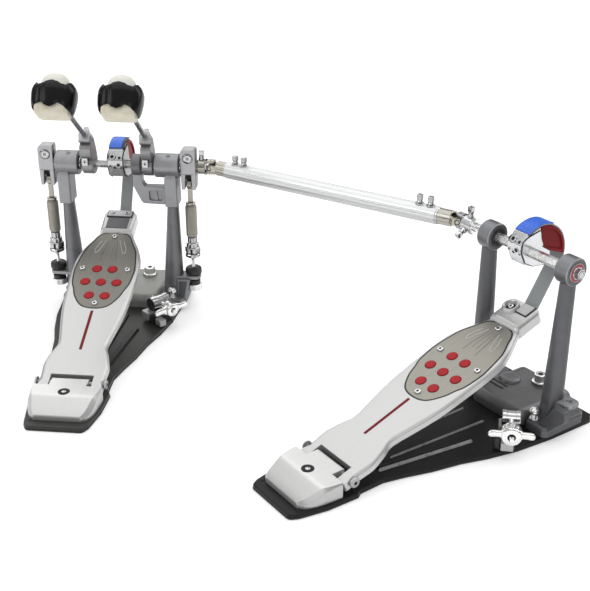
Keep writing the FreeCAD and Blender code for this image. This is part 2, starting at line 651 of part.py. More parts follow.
# ---------------------------------------------------------------- rockers, screws, axles
def rocker(side, x0, x1):
    pre = side + "_"
    mid = (x0 + x1) / 2.0
    prof = [(-9, H + 21), (-6, H + 24.5), (6, H + 24.5), (9, H + 21), (9, H - 24), (4, H - 30), (-4, H - 30), (-9, H - 24)]
    b = padded(prof, "YZ_Plane", x1 - x0, x0)
    solid = cut(b, cyl("journal_r + run_gap", "60", mid - 30, 0, "axle_height", "X"),
                box("8", "40", "22", mid - 4, -20, H - 32),
                cyl("rocker_pin_r + run_gap", "60", mid - 30, 0, "axle_height - rocker_drop", "X"),
                cyl("3.1", "20", mid, -20, H + 13, "Y"))
    node(pre + "rocker", solid)
    pin = cyl("rocker_pin_r", x1 - x0, x0, 0, "axle_height - rocker_drop", "X")
    bolt = fuse(cyl("3", "8", mid, -8.9, H + 13, "Y"), cyl("5.2", "2.2", mid, -11.3, H + 13, "Y"))
    return [pin, bolt]


left_bits = rocker("left", -98, -78)
right_bits = rocker("right", 90, 110)


def hub_bits(x):
    """Key bolt and lock bolt that close a hub on its shaft and axle."""
    return [hub_key(x, "2.6", "9.4"), cyl("3.2", "7.5", x - 1.5, -18, H + 7, "Y")]


node("primary_axle_screws", group(*(left_bits + [cyl("2", "12", 1, -16, H + 6, "Y"), cyl("2", "12", 11, -16, H + 6, "Y")]
                                    + hub_bits(-31.5))))
node("secondary_axle_screws", group(*(right_bits + hub_bits(47.6) + [cyl("2.6", "12", 117, 0, H + 8.6)])))

node("primary_hex_axle", fuse(cyl("journal_r", "57", -98.5, 0, "axle_height", "X"),
                              hexa("hex_flat", "67.2", -41.5, 0, "axle_height", "X"),
                              cyl("journal_r", "6", 25.6, 0, "axle_height", "X")))
node("secondary_hex_axle", fuse(cyl("journal_r", "7", 32.4, 0, "axle_height", "X"),
                                hexa("hex_flat", "16.6", 39.2, 0, "axle_height", "X"),
                                cyl("journal_r", "65.5", 55.7, 0, "axle_height", "X")))

# ---------------------------------------------------------------- springs
def spring(side, x):
    pre = side + "_spring_"
    # swivelling lower end: threaded rod, adjuster nut, knurled lock nut and stop nut
    steel = [cyl("rod_r", "73", x, 0, 23),
             cut(fuse(cyl("9.4", "5", x, 0, 73), hexa("17", "9", x, 0, 78), cyl("8.2", "6", x, 0, 87), cyl("6.4", "8", x, 0, 93)),
                 cyl("rod_r + run_gap", "60", x, 0, 60)),
             cut(cyl("9.5", "7", x, 0, 25.6), cyl("rod_r + run_gap", "30", x, 0, 15))]
    node(pre + "rod", group(*steel))
    soft = [cut(cyl("10", "9.2", x, 0, 48.2), cyl("rod_r + run_gap", "30", x, 0, 40)),
            cut(cyl("8.6", "5.4", x, 0, 32.9), cyl("rod_r + run_gap", "30", x, 0, 20))]
    node(pre + "grommets", group(*soft))
    coil = cut(cyl("coil_r", "coil_high - coil_low - 0.4", x, 0, "coil_low + 0.2"),
               cyl("coil_r - 2", "80", x, 0, 80))
    node(pre + "coil", coil)
    # upper hook: an eye round the rocker pin, a shank and a plug in the coil
    eye = cut(cyl("rocker_pin_r + eye_gap + 2 * wire_r", "6.4", x - 3.2, 0, "axle_height - rocker_drop", "X"),
              cyl("rocker_pin_r + eye_gap", "10", x - 5, 0, "axle_height - rocker_drop", "X"))
    shank = box("6.4", "4", "24", x - 3.2, -2, 147.2)
    plug = cyl("4", "8", x, 0, 139.5)
    cap = cyl("6.4", "3.4", x, 0, 147.1)
    node(pre + "hook", fuse(eye, shank, plug, cap))


spring("left", val("left_spring_x"))
spring("right", val("right_spring_x"))

# ---------------------------------------------------------------- drive shaft
J1 = Vector(val("joint_one_x"), 0, H)
J2 = SLAVE.multVec(Vector(val("joint_two_x"), 0, H))
run = J2.sub(J1)
span = run.Length
shaft_rot = Rotation(Vector(1, 0, 0), run)
SHAFT = Placement(J1, shaft_rot)
FAR = Placement(J2, shaft_rot)


def fork(x_back, x_mid, tall, bore, sign=1):
    """A joint fork along X about its own centre: a barrel from x_back to
    x_mid and two arms that reach past the centre.  tall puts the arms above
    and below, otherwise they stand in front and behind."""
    a, b = min(x_back, x_mid), max(x_back, x_mid)
    parts = [cyl("fork_r", b - a, a, 0, 0, "X")]
    arm0, arm1 = min(x_mid, 0), max(x_mid, 0)
    for s in (1, -1):
        w = "fork_out - fork_in"
        start = "fork_in" if s > 0 else "-fork_out"
        if tall:
            parts += [box(arm1 - arm0, "9", w, arm0, -4.5, start), cyl("4.5", w, 0, 0, start)]
        else:
            parts += [box(arm1 - arm0, w, "9", arm0, start, -4.5), cyl("4.5", w, 0, start, 0, "Y")]
    holes = cyl(bore, "40", 0, 0, -20) if tall else cyl(bore, "40", 0, -20, 0, "Y")
    return parts, holes


parts, holes = fork(-19, -9, True, "trunnion_r + run_gap")
yoke = cut(fuse(*parts), holes, cyl("journal_r + run_gap", "30", -39, 0, 0, "X"), cyl("2.65", "20", -14, 0, 5))
node("secondary_yoke", place(yoke, Placement(J1, Rotation())))

parts, holes = fork(9, 23.8, False, "trunnion_r + 0.75")
tube_yoke = cut(fuse(*(parts + [cyl("rod_shaft_r", "40", 23.5, 0, 0, "X")])), holes)

tube = cut(cyl("tube_r", span - 24 - 28, 24, 0, 0, "X"), cyl("tube_bore", span, 0, 0, 0, "X"),
           *[cyl("2.05", "20", sx, 0, 3) for sx in (36, 49, span - 52, span - 38)])
node("drive_tube", place(tube, SHAFT))
keys = [fuse(cyl("2", "6", sx, 0, 7.2), cone("4", "2.6", "3", sx, 0, "tube_r + 0.1"), box("4.6", "4.6", "8", sx - 2.3, -2.3, "tube_r + 3"))
        for sx in (36, 49, span - 52, span - 38)]
node("tube_yoke", place(group(tube_yoke, *keys), SHAFT))

parts, holes = fork(-9, -27, False, "trunnion_r + 0.75")
rod = cut(fuse(*(parts + [cyl("rod_shaft_r", "112", -138.5, 0, 0, "X")])), holes)
node("drive_rod", place(rod, FAR))


def cross(label, pl):
    c = fuse(box("2 * cross_half", "2 * cross_half", "2 * cross_half", "-cross_half", "-cross_half", "-cross_half"),
             cyl("trunnion_r", "2 * trunnion_len", 0, 0, "-trunnion_len"),
             cyl("trunnion_r", "2 * trunnion_len", 0, "-trunnion_len", 0, "Y"))
    node(label, place(c, pl))


cross("left_joint_cross", SHAFT)
cross("right_joint_cross", FAR)

# slave axle: fork, journals, hexagon and end bolt
parts, holes = fork(9, 24, True, "trunnion_r + run_gap")
s_axle = cut(fuse(*(parts + [cyl("journal_r", "37.8", 23.8, 0, 0, "X"), hexa("hex_flat", "96", 61.5, 0, 0, "X"),
                             cyl("journal_r", "19.4", 157.4, 0, 0, "X"), hexa("11", "6.5", 176.5, 0, 0, "X")])), holes)
node("slave_hex_axle", place(s_axle, SLAVE.multiply(Placement(Vector(val("joint_two_x"), 0, H), Rotation()))))

# ---------------------------------------------------------------- clamp screws and hoop jaw
def wing_screw(label, where):
    """Wing screw that turns about its own line, with a barrel nut behind it."""
    fr = WING
    hub = cyl("9.2", "12", -2, 0, 0, "X")
    wings = [box("4.5", "wing_reach - 4", "8", 2.5, "4", -4), cyl("4", "4.5", 2.5, "wing_reach - 4", 0, "X"),
             box("4.5", "wing_reach - 4", "8", 2.5, "-wing_reach", -4), cyl("4", "4.5", 2.5, "4 - wing_reach", 0, "X")]
    wings[2] = box("4.5", "wing_reach - 8", "8", 2.5, "4 - wing_reach", -4)
    wings[0] = box("4.5", "wing_reach - 8", "8", 2.5, "4", -4)
    stem = cyl("3", "40", -40, 0, 0, "X")
    key = box("6", "5", "5", 9.5, -2.5, -2.5)
    node(label, place(fuse(hub, stem, key, *wings), where.multiply(fr)))


wing_screw("hoop_wing_screw", PRIMARY)
wing_screw("slave_wing_screw", SLAVE)


# upper jaw of the hoop clamp with its two guide pins
node("hoop_clamp_jaw", fuse(box("33", "38", "6", -31.5, 44, 31), *[cyl("3", "14.2", x, 48, 17) for x in (-26, -4)]))

# ---------------------------------------------------------------- check and write
doc.recompute()
bad = [o.Name for o in doc.Objects if "Invalid" in o.State or "Error" in o.State]
if bad:
    raise RuntimeError("failed features: %s" % ", ".join(bad))
labels = [n for n, _ in NODES]
if len(set(labels)) != len(labels) or len(labels) > 60:
    raise RuntimeError("labels: %d" % len(labels))
for label, obj in NODES:
    s = obj.Shape
    if s.isNull() or not s.isValid() or not s.Solids:
        raise RuntimeError("bad shape: %s" % label)

os.makedirs("parts", exist_ok=True)
for label, obj in NODES:
    obj.Shape.exportStep("parts/%s.step" % label)
print("nodes %d, shaft span %.3f, joint two %.4f %.4f" % (len(NODES), span, J2.x, J2.y))
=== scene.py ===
import bmesh
import bpy
import math
import numpy as np
from mathutils import Matrix, Vector
from mathutils.geometry import delaunay_2d_cdt

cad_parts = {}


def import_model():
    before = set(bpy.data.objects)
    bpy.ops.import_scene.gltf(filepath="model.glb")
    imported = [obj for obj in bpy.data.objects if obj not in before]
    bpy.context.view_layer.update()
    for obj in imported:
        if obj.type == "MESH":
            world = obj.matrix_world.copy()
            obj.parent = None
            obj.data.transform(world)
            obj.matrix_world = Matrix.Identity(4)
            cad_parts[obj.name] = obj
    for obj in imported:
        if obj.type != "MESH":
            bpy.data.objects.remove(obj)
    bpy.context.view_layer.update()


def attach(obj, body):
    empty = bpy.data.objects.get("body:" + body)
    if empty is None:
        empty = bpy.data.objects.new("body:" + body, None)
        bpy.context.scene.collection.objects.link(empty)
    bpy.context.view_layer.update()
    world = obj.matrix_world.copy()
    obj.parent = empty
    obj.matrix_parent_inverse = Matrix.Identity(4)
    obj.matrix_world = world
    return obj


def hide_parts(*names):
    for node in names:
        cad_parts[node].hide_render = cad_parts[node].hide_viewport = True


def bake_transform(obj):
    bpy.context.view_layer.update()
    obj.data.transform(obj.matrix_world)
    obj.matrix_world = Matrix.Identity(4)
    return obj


# Looks of a double bass drum pedal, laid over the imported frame.  Lengths in
# this file are millimetres; meshes are scaled to metres when they are made.

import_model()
scene = bpy.context.scene
MM = 0.001
H = 200.3


# ------------------------------------------------------------------ placing
def T(x, y, z):
    return Matrix.Translation((x, y, z))


def R(deg, axis):
    return Matrix.Rotation(math.radians(deg), 4, axis)


def aim(p, d, up="Y"):
    """Local Z along d, origin at p."""
    return T(*p) @ Vector(d).to_track_quat("Z", up).to_matrix().to_4x4()


P = Matrix.Identity(4)
S = T(506.506, -220.130, 0) @ R(-48.614, "Z")
BOARD = T(0, -255, 18.7) @ R(19.34, "X")
YZ = Matrix(((0, 0, 1, 0), (1, 0, 0, 0), (0, 1, 0, 0), (0, 0, 0, 1)))      # outline (y, z), depth along x
XZ = Matrix(((1, 0, 0, 0), (0, 0, 1, 0), (0, 1, 0, 0), (0, 0, 0, 1)))      # outline (x, z), depth along y
XAX = Matrix(((0, 0, 1, 0), (0, 1, 0, 0), (-1, 0, 0, 0), (0, 0, 0, 1)))    # lathe along x


# ------------------------------------------------------------------ shapes
class Geo:
    """Points and faces, each face with a material number."""

    def __init__(self):
        self.v, self.f, self.m = [], [], []

    def add(self, other, xf=None, mat=None):
        o = len(self.v)
        self.v += [tuple(xf @ Vector(p)) for p in other.v] if xf is not None else list(other.v)
        self.f += [tuple(i + o for i in f) for f in other.f]
        self.m += [mat] * len(other.f) if mat is not None else list(other.m)
        return self

    def moved(self, fn):
        self.v = [fn(*p) for p in self.v]
        return self


def made(v, f, m=None):
    g = Geo()
    g.v, g.f = [tuple(p) for p in v], [tuple(q) for q in f]
    g.m = list(m) if m is not None else [0] * len(g.f)
    return g


def area(poly):
    return 0.5 * sum(a[0] * b[1] - b[0] * a[1] for a, b in zip(poly, poly[1:] + poly[:1]))


def ccw(poly):
    poly = [(p[0], p[1]) for p in poly]
    return poly if area(poly) > 0 else poly[::-1]


def offset(poly, d, weights=None):
    """Moves an outline's points inwards by d."""
    n, out = len(poly), []
    for i in range(n):
        p0, p1, p2 = Vector(poly[i - 1]), Vector(poly[i]), Vector(poly[(i + 1) % n])
        e1, e2 = (p1 - p0).normalized(), (p2 - p1).normalized()
        n1, n2 = Vector((-e1.y, e1.x)), Vector((-e2.y, e2.x))
        m = n1 + n2
        m = n1 if m.length < 1e-6 else m.normalized()
        k = d / max(0.45, m.dot(n1)) * (weights[i] if weights else 1.0)
        out.append((p1.x + m.x * k, p1.y + m.y * k))
    return out


def rounded(poly, r=2.0, seg=5):
    """Rounds an outline's corners; a point may carry its own radius."""
    n, out = len(poly), []
    for i in range(n):
        p0, p1, p2 = (Vector(poly[(i + k) % n][:2]) for k in (-1, 0, 1))
        ri = poly[i][2] if len(poly[i]) > 2 else r
        a, b = p0 - p1, p2 - p1
        if ri <= 0 or a.length < 1e-6 or b.length < 1e-6:
            out.append(tuple(p1))
            continue
        ang = a.angle(b)
        if ang > 3.05:
            out.append(tuple(p1))
            continue
        t = min(ri / math.tan(ang / 2), 0.49 * a.length, 0.49 * b.length)
        s, e = p1 + a.normalized() * t, p1 + b.normalized() * t
        for k in range(seg + 1):
            u = k / seg
            q = s * (1 - u) ** 2 + p1 * (2 * u * (1 - u)) + e * u ** 2
            out.append((q.x, q.y))
    return out


def spline(pts, steps=4, closed=True):
    """Extra points along a smooth curve through the points (any dimension)."""
    n, out = len(pts), []
    for i in range(n if closed else n - 1):
        p0, p1 = pts[(i - 1) % n if closed else max(i - 1, 0)], pts[i]
        p2, p3 = pts[(i + 1) % n], pts[(i + 2) % n if closed else min(i + 2, n - 1)]
        for k in range(steps):
            u = k / steps
            out.append(tuple(
                0.5 * (2 * p1[c] + (p2[c] - p0[c]) * u + (2 * p0[c] - 5 * p1[c] + 4 * p2[c] - p3[c]) * u * u
                       + (3 * p1[c] - p0[c] - 3 * p2[c] + p3[c]) * u ** 3) for c in range(len(p1))))
    if not closed:
        out.append(tuple(pts[-1]))
    return out


def inside(p, poly):
    hit = False
    for (x0, y0), (x1, y1) in zip(poly, poly[1:] + poly[:1]):
        if (y0 > p[1]) != (y1 > p[1]) and p[0] < (x1 - x0) * (p[1] - y0) / (y1 - y0) + x0:
            hit = not hit
    return hit


def cap(loops):
    """Triangles that fill the first loop outside the others."""
    pts, edges = [], []
    for lp in loops:
        o, n = len(pts), len(lp)
        pts += [Vector(p) for p in lp]
        edges += [(o + i, o + (i + 1) % n) for i in range(n)]
    v, _, tris, ov, _, _ = delaunay_2d_cdt(pts, edges, [], 0, 1e-6)
    out = []
    for t in tris:
        c = (v[t[0]] + v[t[1]] + v[t[2]]) / 3
        if inside(c, loops[0]) and not any(inside(c, h) for h in loops[1:]):
            ids = tuple(ov[i][0] if ov[i] else min(range(len(pts)), key=lambda k: (pts[k] - v[i]).length) for i in t)
            if len(set(ids)) == 3:
                out.append(ids)
    return out


def prism(outline, rings, holes=(), weights=None, mat=0):
    """A plate.  rings are (inset, height) from the bottom to the top."""
    if weights is not None and area([(p[0], p[1]) for p in outline]) < 0:
        weights = weights[::-1]
    loops = [ccw(outline)] + [ccw(h) for h in holes]
    total, v, f = sum(len(lp) for lp in loops), [], []
    flat = []
    for inset, z in rings:
        level = [offset(loops[0], inset, weights)] + [offset(h, -min(inset, 0.6)) for h in loops[1:]]
        flat.append(level)
        for lp in level:
            v += [(x, y, z) for x, y in lp]
    for r in range(len(rings) - 1):
        s = r * total
        for lp in loops:
            n = len(lp)
            for i in range(n):
                a, b = s + i, s + (i + 1) % n
                f.append((a, b, b + total, a + total))
            s += n
    top = (len(rings) - 1) * total
    if holes:
        f += [t[::-1] for t in cap(flat[0])]
        f += [tuple(i + top for i in t) for t in cap(flat[-1])]
    else:
        f += [tuple(range(total))[::-1], tuple(range(top, top + total))]
    return made(v, f, [mat] * len(f))


def slab(outline, z0, z1, r=0.8, holes=(), mat=0, weights=None):
    """A plate with softly rounded rims."""
    r = min(r, (z1 - z0) * 0.45)
    return prism(outline, [(r, z0), (0.3 * r, z0 + 0.3 * r), (0, z0 + r), (0, z1 - r), (0.3 * r, z1 - 0.3 * r), (r, z1)],
                 holes, weights, mat)


def rect(x0, x1, y0, y1, r=2.0, seg=4):
    return rounded([(x0, y0), (x1, y0), (x1, y1), (x0, y1)], r, seg)


def block(x0, x1, y0, y1, z0, z1, r=1.5, edge=None, mat=0):
    """A box with rounded edges."""
    return slab(rect(x0, x1, y0, y1, r), z0, z1, edge if edge is not None else min(r, 1.2), mat=mat)


def ring_pts(r, n=32, cx=0.0, cy=0.0, a0=0.0):
    return [(cx + r * math.cos(a0 + 2 * math.pi * i / n), cy + r * math.sin(a0 + 2 * math.pi * i / n)) for i in range(n)]


def hexagon(af, rot=0.0):
    return ring_pts(af / math.sqrt(3), 6, a0=rot)


def lathe(profile, n=32, mats=None, shape=None):
    """Turns (radius, height) points about Z.  shape(angle) scales the radius."""
    v, f, m, rows = [], [], [], []
    for r, z in profile:
        if r < 1e-6:
            rows.append([len(v)])
            v.append((0, 0, z))
        else:
            rows.append(list(range(len(v), len(v) + n)))
            for i in range(n):
                a = 2 * math.pi * i / n
                k = shape(a, z) if shape else 1.0
                v.append((r * k * math.cos(a), r * k * math.sin(a), z))
    for j in range(len(rows) - 1):
        a, b = rows[j], rows[j + 1]
        mm = mats[j] if mats else 0
        if len(a) == 1 and len(b) == 1:
            continue
        for i in range(n):
            k = (i + 1) % n
            if len(a) == 1:
                f.append((a[0], b[k], b[i]))
            elif len(b) == 1:
                f.append((a[i], a[k], b[0]))
            else:
                f.append((a[i], a[k], b[k], b[i]))
            m.append(mm)
    for row, flip in ((rows[0], True), (rows[-1], False)):
        if len(row) > 1 and (profile[0] != profile[-1]):
            f.append(tuple(row[::-1] if flip else row))
            m.append((mats[0] if flip else mats[-1]) if mats else 0)
    if profile[0] == profile[-1]:          # a closed section: join the last row to the first
        last, first = rows[-1], rows[0]
        back = {j: i for i, j in zip(first, last)}
        f = [tuple(back.get(i, i) for i in q) for q in f]
    return made(v, f, m)


def rod(r, z0, z1, ch=0.5, n=32, mat=0):
    """A turned pin with broken edges."""
    return lathe([(0, z0), (r - ch, z0), (r - 0.3 * ch, z0 + 0.3 * ch), (r, z0 + ch), (r, z1 - ch),
                  (r - 0.3 * ch, z1 - 0.3 * ch), (r - ch, z1), (0, z1)], n, [mat] * 7)


def hoop(ri, ro, z0, z1, ch=0.5, n=40, mat=0):
    """A turned ring."""
    pr = [(ri + ch, z0), (ro - ch, z0), (ro, z0 + ch), (ro, z1 - ch), (ro - ch, z1), (ri + ch, z1), (ri, z1 - ch), (ri, z0 + ch)]
    return lathe(pr + [pr[0]], n, [mat] * len(pr))


def loft(rings, closed_ends=True, mat=0):
    n, v, f = len(rings[0]), [], []
    for r in rings:
        v += [tuple(p) for p in r]
    for j in range(len(rings) - 1):
        for i in range(n):
            a, b = j * n + i, j * n + (i + 1) % n
            f.append((a, b, b + n, a + n))
    if closed_ends:
        f += [tuple(range(n))[::-1], tuple(range((len(rings) - 1) * n, len(rings) * n))]
    return made(v, f, [mat] * len(f))


def wire(path, r, n=10, closed=False, mat=0, squash=1.0):
    """A round section carried along a path."""
    pts = [Vector(p) for p in path]
    k = len(pts)
    tang = []
    for i in range(k):
        a = pts[(i - 1) % k] if closed or i else pts[i]
        b = pts[(i + 1) % k] if closed or i < k - 1 else pts[i]
        tang.append((b - a).normalized())
    up = Vector((0, 0, 1)) if abs(tang[0].z) < 0.9 else Vector((1, 0, 0))
    u = (up - tang[0] * up.dot(tang[0])).normalized()
    rings = []
    for i in range(k):
        u = (u - tang[i] * u.dot(tang[i])).normalized()
        w = tang[i].cross(u)
        rr = r(i / (k - 1)) if callable(r) else r
        rings.append([pts[i] + u * (rr * squash * math.cos(2 * math.pi * j / n)) + w * (rr * math.sin(2 * math.pi * j / n))
                      for j in range(n)])
    if closed:
        g = loft(rings, False, mat)
        last = (k - 1) * n
        g.f += [(last + i, last + (i + 1) % n, (i + 1) % n, i) for i in range(n)]
        g.m += [mat] * n
        return g
    return loft(rings, True, mat)


def thread(r, z0, z1, pitch=1.0, depth=0.35, n=20, mat=0):
    """Screw thread as turned ridges."""
    pr, z = [(0, z0), (r - depth, z0)], z0 + 0.1
    while z + pitch < z1:
        pr += [(r - depth, z), (r, z + 0.45 * pitch), (r, z + 0.55 * pitch)]
        z += pitch
    pr += [(r - depth, z1), (0, z1)]
    return lathe(pr, n, [mat] * (len(pr) - 1))


# ------------------------------------------------------------------ finishes
def finish_nodes(name):
    m = bpy.data.materials.new(name)
    m.use_nodes = True
    nt = m.node_tree
    return m, nt, nt.nodes["Principled BSDF"]


def own_coords(nt, floor=False):
    """Coordinates in the piece's own directions: X across, Y along, Z up."""
    if floor:
        return nt.nodes.new("ShaderNodeTexCoord").outputs["Object"]
    a = nt.nodes.new("ShaderNodeAttribute")
    a.attribute_type = "GEOMETRY"
    a.attribute_name = "own"
    return a.outputs["Vector"]


def material(name, colour, rough, metal=0.0, vary=0.08, grain=45.0, rough_vary=0.08, bump=0.0, bump_grain=600.0,
             stretch=(1, 1, 1), bump_stretch=None, tint=None, floor=False, bands=None, facing=(-0.35, -0.45, 0.82), **sockets):
    """A finish with uneven colour and gloss, and fine relief; when bands are given, painted light and shade are
    multiplied into the colour by the way a surface faces.
    """
    m, nt, b = finish_nodes(name)
    new, link = nt.nodes.new, nt.links.new
    for key, value in sockets.items():
        b.inputs[key.replace("_", " ")].default_value = value
    b.inputs["Metallic"].default_value = metal
    own, mp = own_coords(nt, floor), new("ShaderNodeMapping")
    mp.inputs["Scale"].default_value = stretch
    link(own, mp.inputs["Vector"])
    noise = new("ShaderNodeTexNoise")
    noise.inputs["Scale"].default_value = grain
    noise.inputs["Detail"].default_value = 5.0
    noise.inputs["Roughness"].default_value = 0.6
    link(mp.outputs["Vector"], noise.inputs["Vector"])
    ramp = new("ShaderNodeValToRGB")
    other = tint or tuple(min(1.0, c * (1 + vary)) for c in colour)
    ramp.color_ramp.elements[0].position, ramp.color_ramp.elements[1].position = 0.32, 0.68
    ramp.color_ramp.elements[0].color = (*[c * (1 - vary) for c in colour], 1)
    ramp.color_ramp.elements[1].color = (*other, 1)
    link(noise.outputs["Fac"], ramp.inputs["Fac"])
    if bands:
        # painted reflection and shade: the base colour is made brighter or darker by the way a surface faces, in place
        # of a lit and unlit room mirrored in polished metal
        geo, dot, span, zone, mul = (new("ShaderNode" + n) for n in ("NewGeometry", "VectorMath", "MapRange", "ValToRGB", "Mix"))
        dot.operation = "DOT_PRODUCT"
        dot.inputs[1].default_value = facing
        link(geo.outputs["Normal"], dot.inputs[0])
        span.inputs["From Min"].default_value, span.inputs["From Max"].default_value = -1.0, 1.0
        link(dot.outputs["Value"], span.inputs["Value"])
        stops = zone.color_ramp.elements
        while len(stops) < len(bands):
            stops.new(1.0)
        for stop, (where, grey) in zip(stops, bands):
            stop.position, stop.color = where, (grey, grey, grey, 1)
        link(span.outputs["Result"], zone.inputs["Fac"])
        mul.data_type, mul.blend_type = "RGBA", "MULTIPLY"
        mul.inputs[0].default_value = 1.0
        link(ramp.outputs["Color"], mul.inputs[6])
        link(zone.outputs["Color"], mul.inputs[7])
        link(mul.outputs[2], b.inputs["Base Color"])
    else:
        link(ramp.outputs["Color"], b.inputs["Base Color"])
    rr = new("ShaderNodeMapRange")
    rr.inputs["From Min"].default_value, rr.inputs["From Max"].default_value = 0.3, 0.7
    rr.inputs["To Min"].default_value = max(0.02, rough - rough_vary)
    rr.inputs["To Max"].default_value = min(1.0, rough + rough_vary)
    link(noise.outputs["Fac"], rr.inputs["Value"])
    link(rr.outputs["Result"], b.inputs["Roughness"])
    if bump:
        mp2 = new("ShaderNodeMapping")
        mp2.inputs["Scale"].default_value = bump_stretch or (1, 1, 1)
        link(own, mp2.inputs["Vector"])
        fine = new("ShaderNodeTexNoise")
        fine.inputs["Scale"].default_value = bump_grain
        fine.inputs["Detail"].default_value = 4.0
        link(mp2.outputs["Vector"], fine.inputs["Vector"])
        bn = new("ShaderNodeBump")
        bn.inputs["Strength"].default_value = bump
        bn.inputs["Distance"].default_value = 0.0004
        link(fine.outputs["Fac"], bn.inputs["Height"])
        link(bn.outputs["Normal"], b.inputs["Normal"])
    return m


def woven(name, a, c):
    """Flat webbing: two crossed sets of ribs."""
    m, nt, b = finish_nodes(name)
    new, link = nt.nodes.new, nt.links.new
    own = own_coords(nt)
    waves = []
    for direction, sc in (("X", 420.0), ("Z", 300.0)):
        w = new("ShaderNodeTexWave")
        w.bands_direction = direction
        w.inputs["Scale"].default_value = sc
        w.inputs["Distortion"].default_value = 1.2
        w.inputs["Detail"].default_value = 2.0
        link(own, w.inputs["Vector"])
        waves.append(w)
    mul = new("ShaderNodeMath")
    mul.operation = "MULTIPLY"
    link(waves[0].outputs["Fac"], mul.inputs[0])
    link(waves[1].outputs["Fac"], mul.inputs[1])
    ramp = new("ShaderNodeValToRGB")
    ramp.color_ramp.elements[0].color, ramp.color_ramp.elements[1].color = (*a, 1), (*c, 1)
    link(mul.outputs["Value"], ramp.inputs["Fac"])
    link(ramp.outputs["Color"], b.inputs["Base Color"])
    b.inputs["Roughness"].default_value = 0.62
    bn = new("ShaderNodeBump")
    bn.inputs["Strength"].default_value = 0.35
    bn.inputs["Distance"].default_value = 0.0003
    link(mul.outputs["Value"], bn.inputs["Height"])
    link(bn.outputs["Normal"], b.inputs["Normal"])
    return m


def felt(name, colour, dark):
    """Pressed wool: mottled, soft, with short fibres."""
    m, nt, b = finish_nodes(name)
    new, link = nt.nodes.new, nt.links.new
    own = own_coords(nt)
    big, small = new("ShaderNodeTexNoise"), new("ShaderNodeTexNoise")
    for n, sc, de in ((big, 120.0, 6.0), (small, 1500.0, 3.0)):
        n.inputs["Scale"].default_value = sc
        n.inputs["Detail"].default_value = de
        link(own, n.inputs["Vector"])
    ramp = new("ShaderNodeValToRGB")
    ramp.color_ramp.elements[0].position, ramp.color_ramp.elements[1].position = 0.3, 0.7
    ramp.color_ramp.elements[0].color, ramp.color_ramp.elements[1].color = (*dark, 1), (*colour, 1)
    link(big.outputs["Fac"], ramp.inputs["Fac"])
    link(ramp.outputs["Color"], b.inputs["Base Color"])
    b.inputs["Roughness"].default_value = 0.92
    b.inputs["Sheen Weight"].default_value = 0.35
    b.inputs["Sheen Roughness"].default_value = 0.5
    b.inputs["Specular IOR Level"].default_value = 0.2
    add = new("ShaderNodeMath")
    add.operation = "ADD"
    link(big.outputs["Fac"], add.inputs[0])
    link(small.outputs["Fac"], add.inputs[1])
    bn = new("ShaderNodeBump")
    bn.inputs["Strength"].default_value = 0.5
    bn.inputs["Distance"].default_value = 0.0006
    link(add.outputs["Value"], bn.inputs["Height"])
    link(bn.outputs["Normal"], b.inputs["Normal"])
    return m


alloy = material("polished_alloy", (0.585, 0.585, 0.58), 0.32, 0.60, vary=0.02, grain=8, rough_vary=0.04, stretch=(30, 1.2, 30),
                 bump=0.015, bump_grain=60, bump_stretch=(40, 1.0, 40))
# heel_alloy: painted highlight and shade, the flat top lighter and the sloped faces darker by the way they face
heel_alloy = material("heel_alloy", (0.60, 0.60, 0.595), 0.32, 0.60, vary=0.02, grain=8, rough_vary=0.04, stretch=(30, 1.2, 30),
                      bump=0.015, bump_grain=60, bump_stretch=(40, 1.0, 40),
                      bands=[(0.0, 0.86), (0.5, 0.86), (0.955, 0.94), (0.992, 1.24), (1.0, 1.24)], facing=(0.0, 0.0, 1.0))
# painted shade for the castings: the colour darkens on faces turned away from the upper left, most of all on undersides
SHADE = [(0.0, 0.30), (0.28, 0.42), (0.42, 0.66), (0.58, 0.97), (1.0, 1.02)]
LEFT_UP = (-0.40, -0.25, 0.88)
cast = material("grey_casting", (0.122, 0.124, 0.133), 0.42, 0.45, vary=0.10, grain=70, bump=0.10, bump_grain=1400,
                bands=SHADE, facing=LEFT_UP)
cast_post = material("post_casting", (0.195, 0.197, 0.208), 0.42, 0.45, vary=0.10, grain=70, bump=0.10, bump_grain=1400,
                     bands=SHADE, facing=LEFT_UP)
# painted highlight and shade for the housings and barrels: brightest where a face turns to the front, darker on top and
# darkest underneath
HOUSING_PAINTED_SHADE = [(0.0, 0.32), (0.4, 0.46), (0.6, 0.62), (0.78, 0.62), (0.86, 0.98), (1.0, 1.06)]
AHEAD = (-0.20, -0.76, 0.62)
cast_mid = material("housing_casting", (0.335, 0.337, 0.352), 0.40, 0.45, vary=0.08, grain=80, bump=0.10, bump_grain=1500,
                    bands=HOUSING_PAINTED_SHADE, facing=AHEAD)
barrel_cast = material("barrel_casting", (0.225, 0.228, 0.242), 0.40, 0.45, vary=0.08, grain=80, bump=0.10, bump_grain=1500,
                       bands=[(0.0, 0.32), (0.4, 0.44), (0.6, 0.60), (0.76, 0.46), (0.82, 0.62), (0.88, 1.0), (1.0, 1.10)], facing=AHEAD)
cast_light = material("light_casting", (0.48, 0.48, 0.49), 0.38, 0.55, vary=0.08, grain=80, bump=0.10, bump_grain=1500,
                      bands=SHADE, facing=LEFT_UP)
hub_grey = material("hub_casting_grey", (0.33, 0.328, 0.338), 0.36, 0.5, vary=0.07, grain=90, bump=0.08, bump_grain=1600,
                    bands=SHADE, facing=LEFT_UP)
hub_cast = material("hub_casting", (0.47, 0.465, 0.48), 0.38, 0.45, vary=0.07, grain=90, bump=0.08, bump_grain=1600,
                    bands=SHADE, facing=LEFT_UP)
bridge_cast = material("bridge_casting", (0.31, 0.315, 0.295), 0.44, 0.35, vary=0.10, grain=60, bump=0.12, bump_grain=1200,
                       bands=SHADE, facing=LEFT_UP)
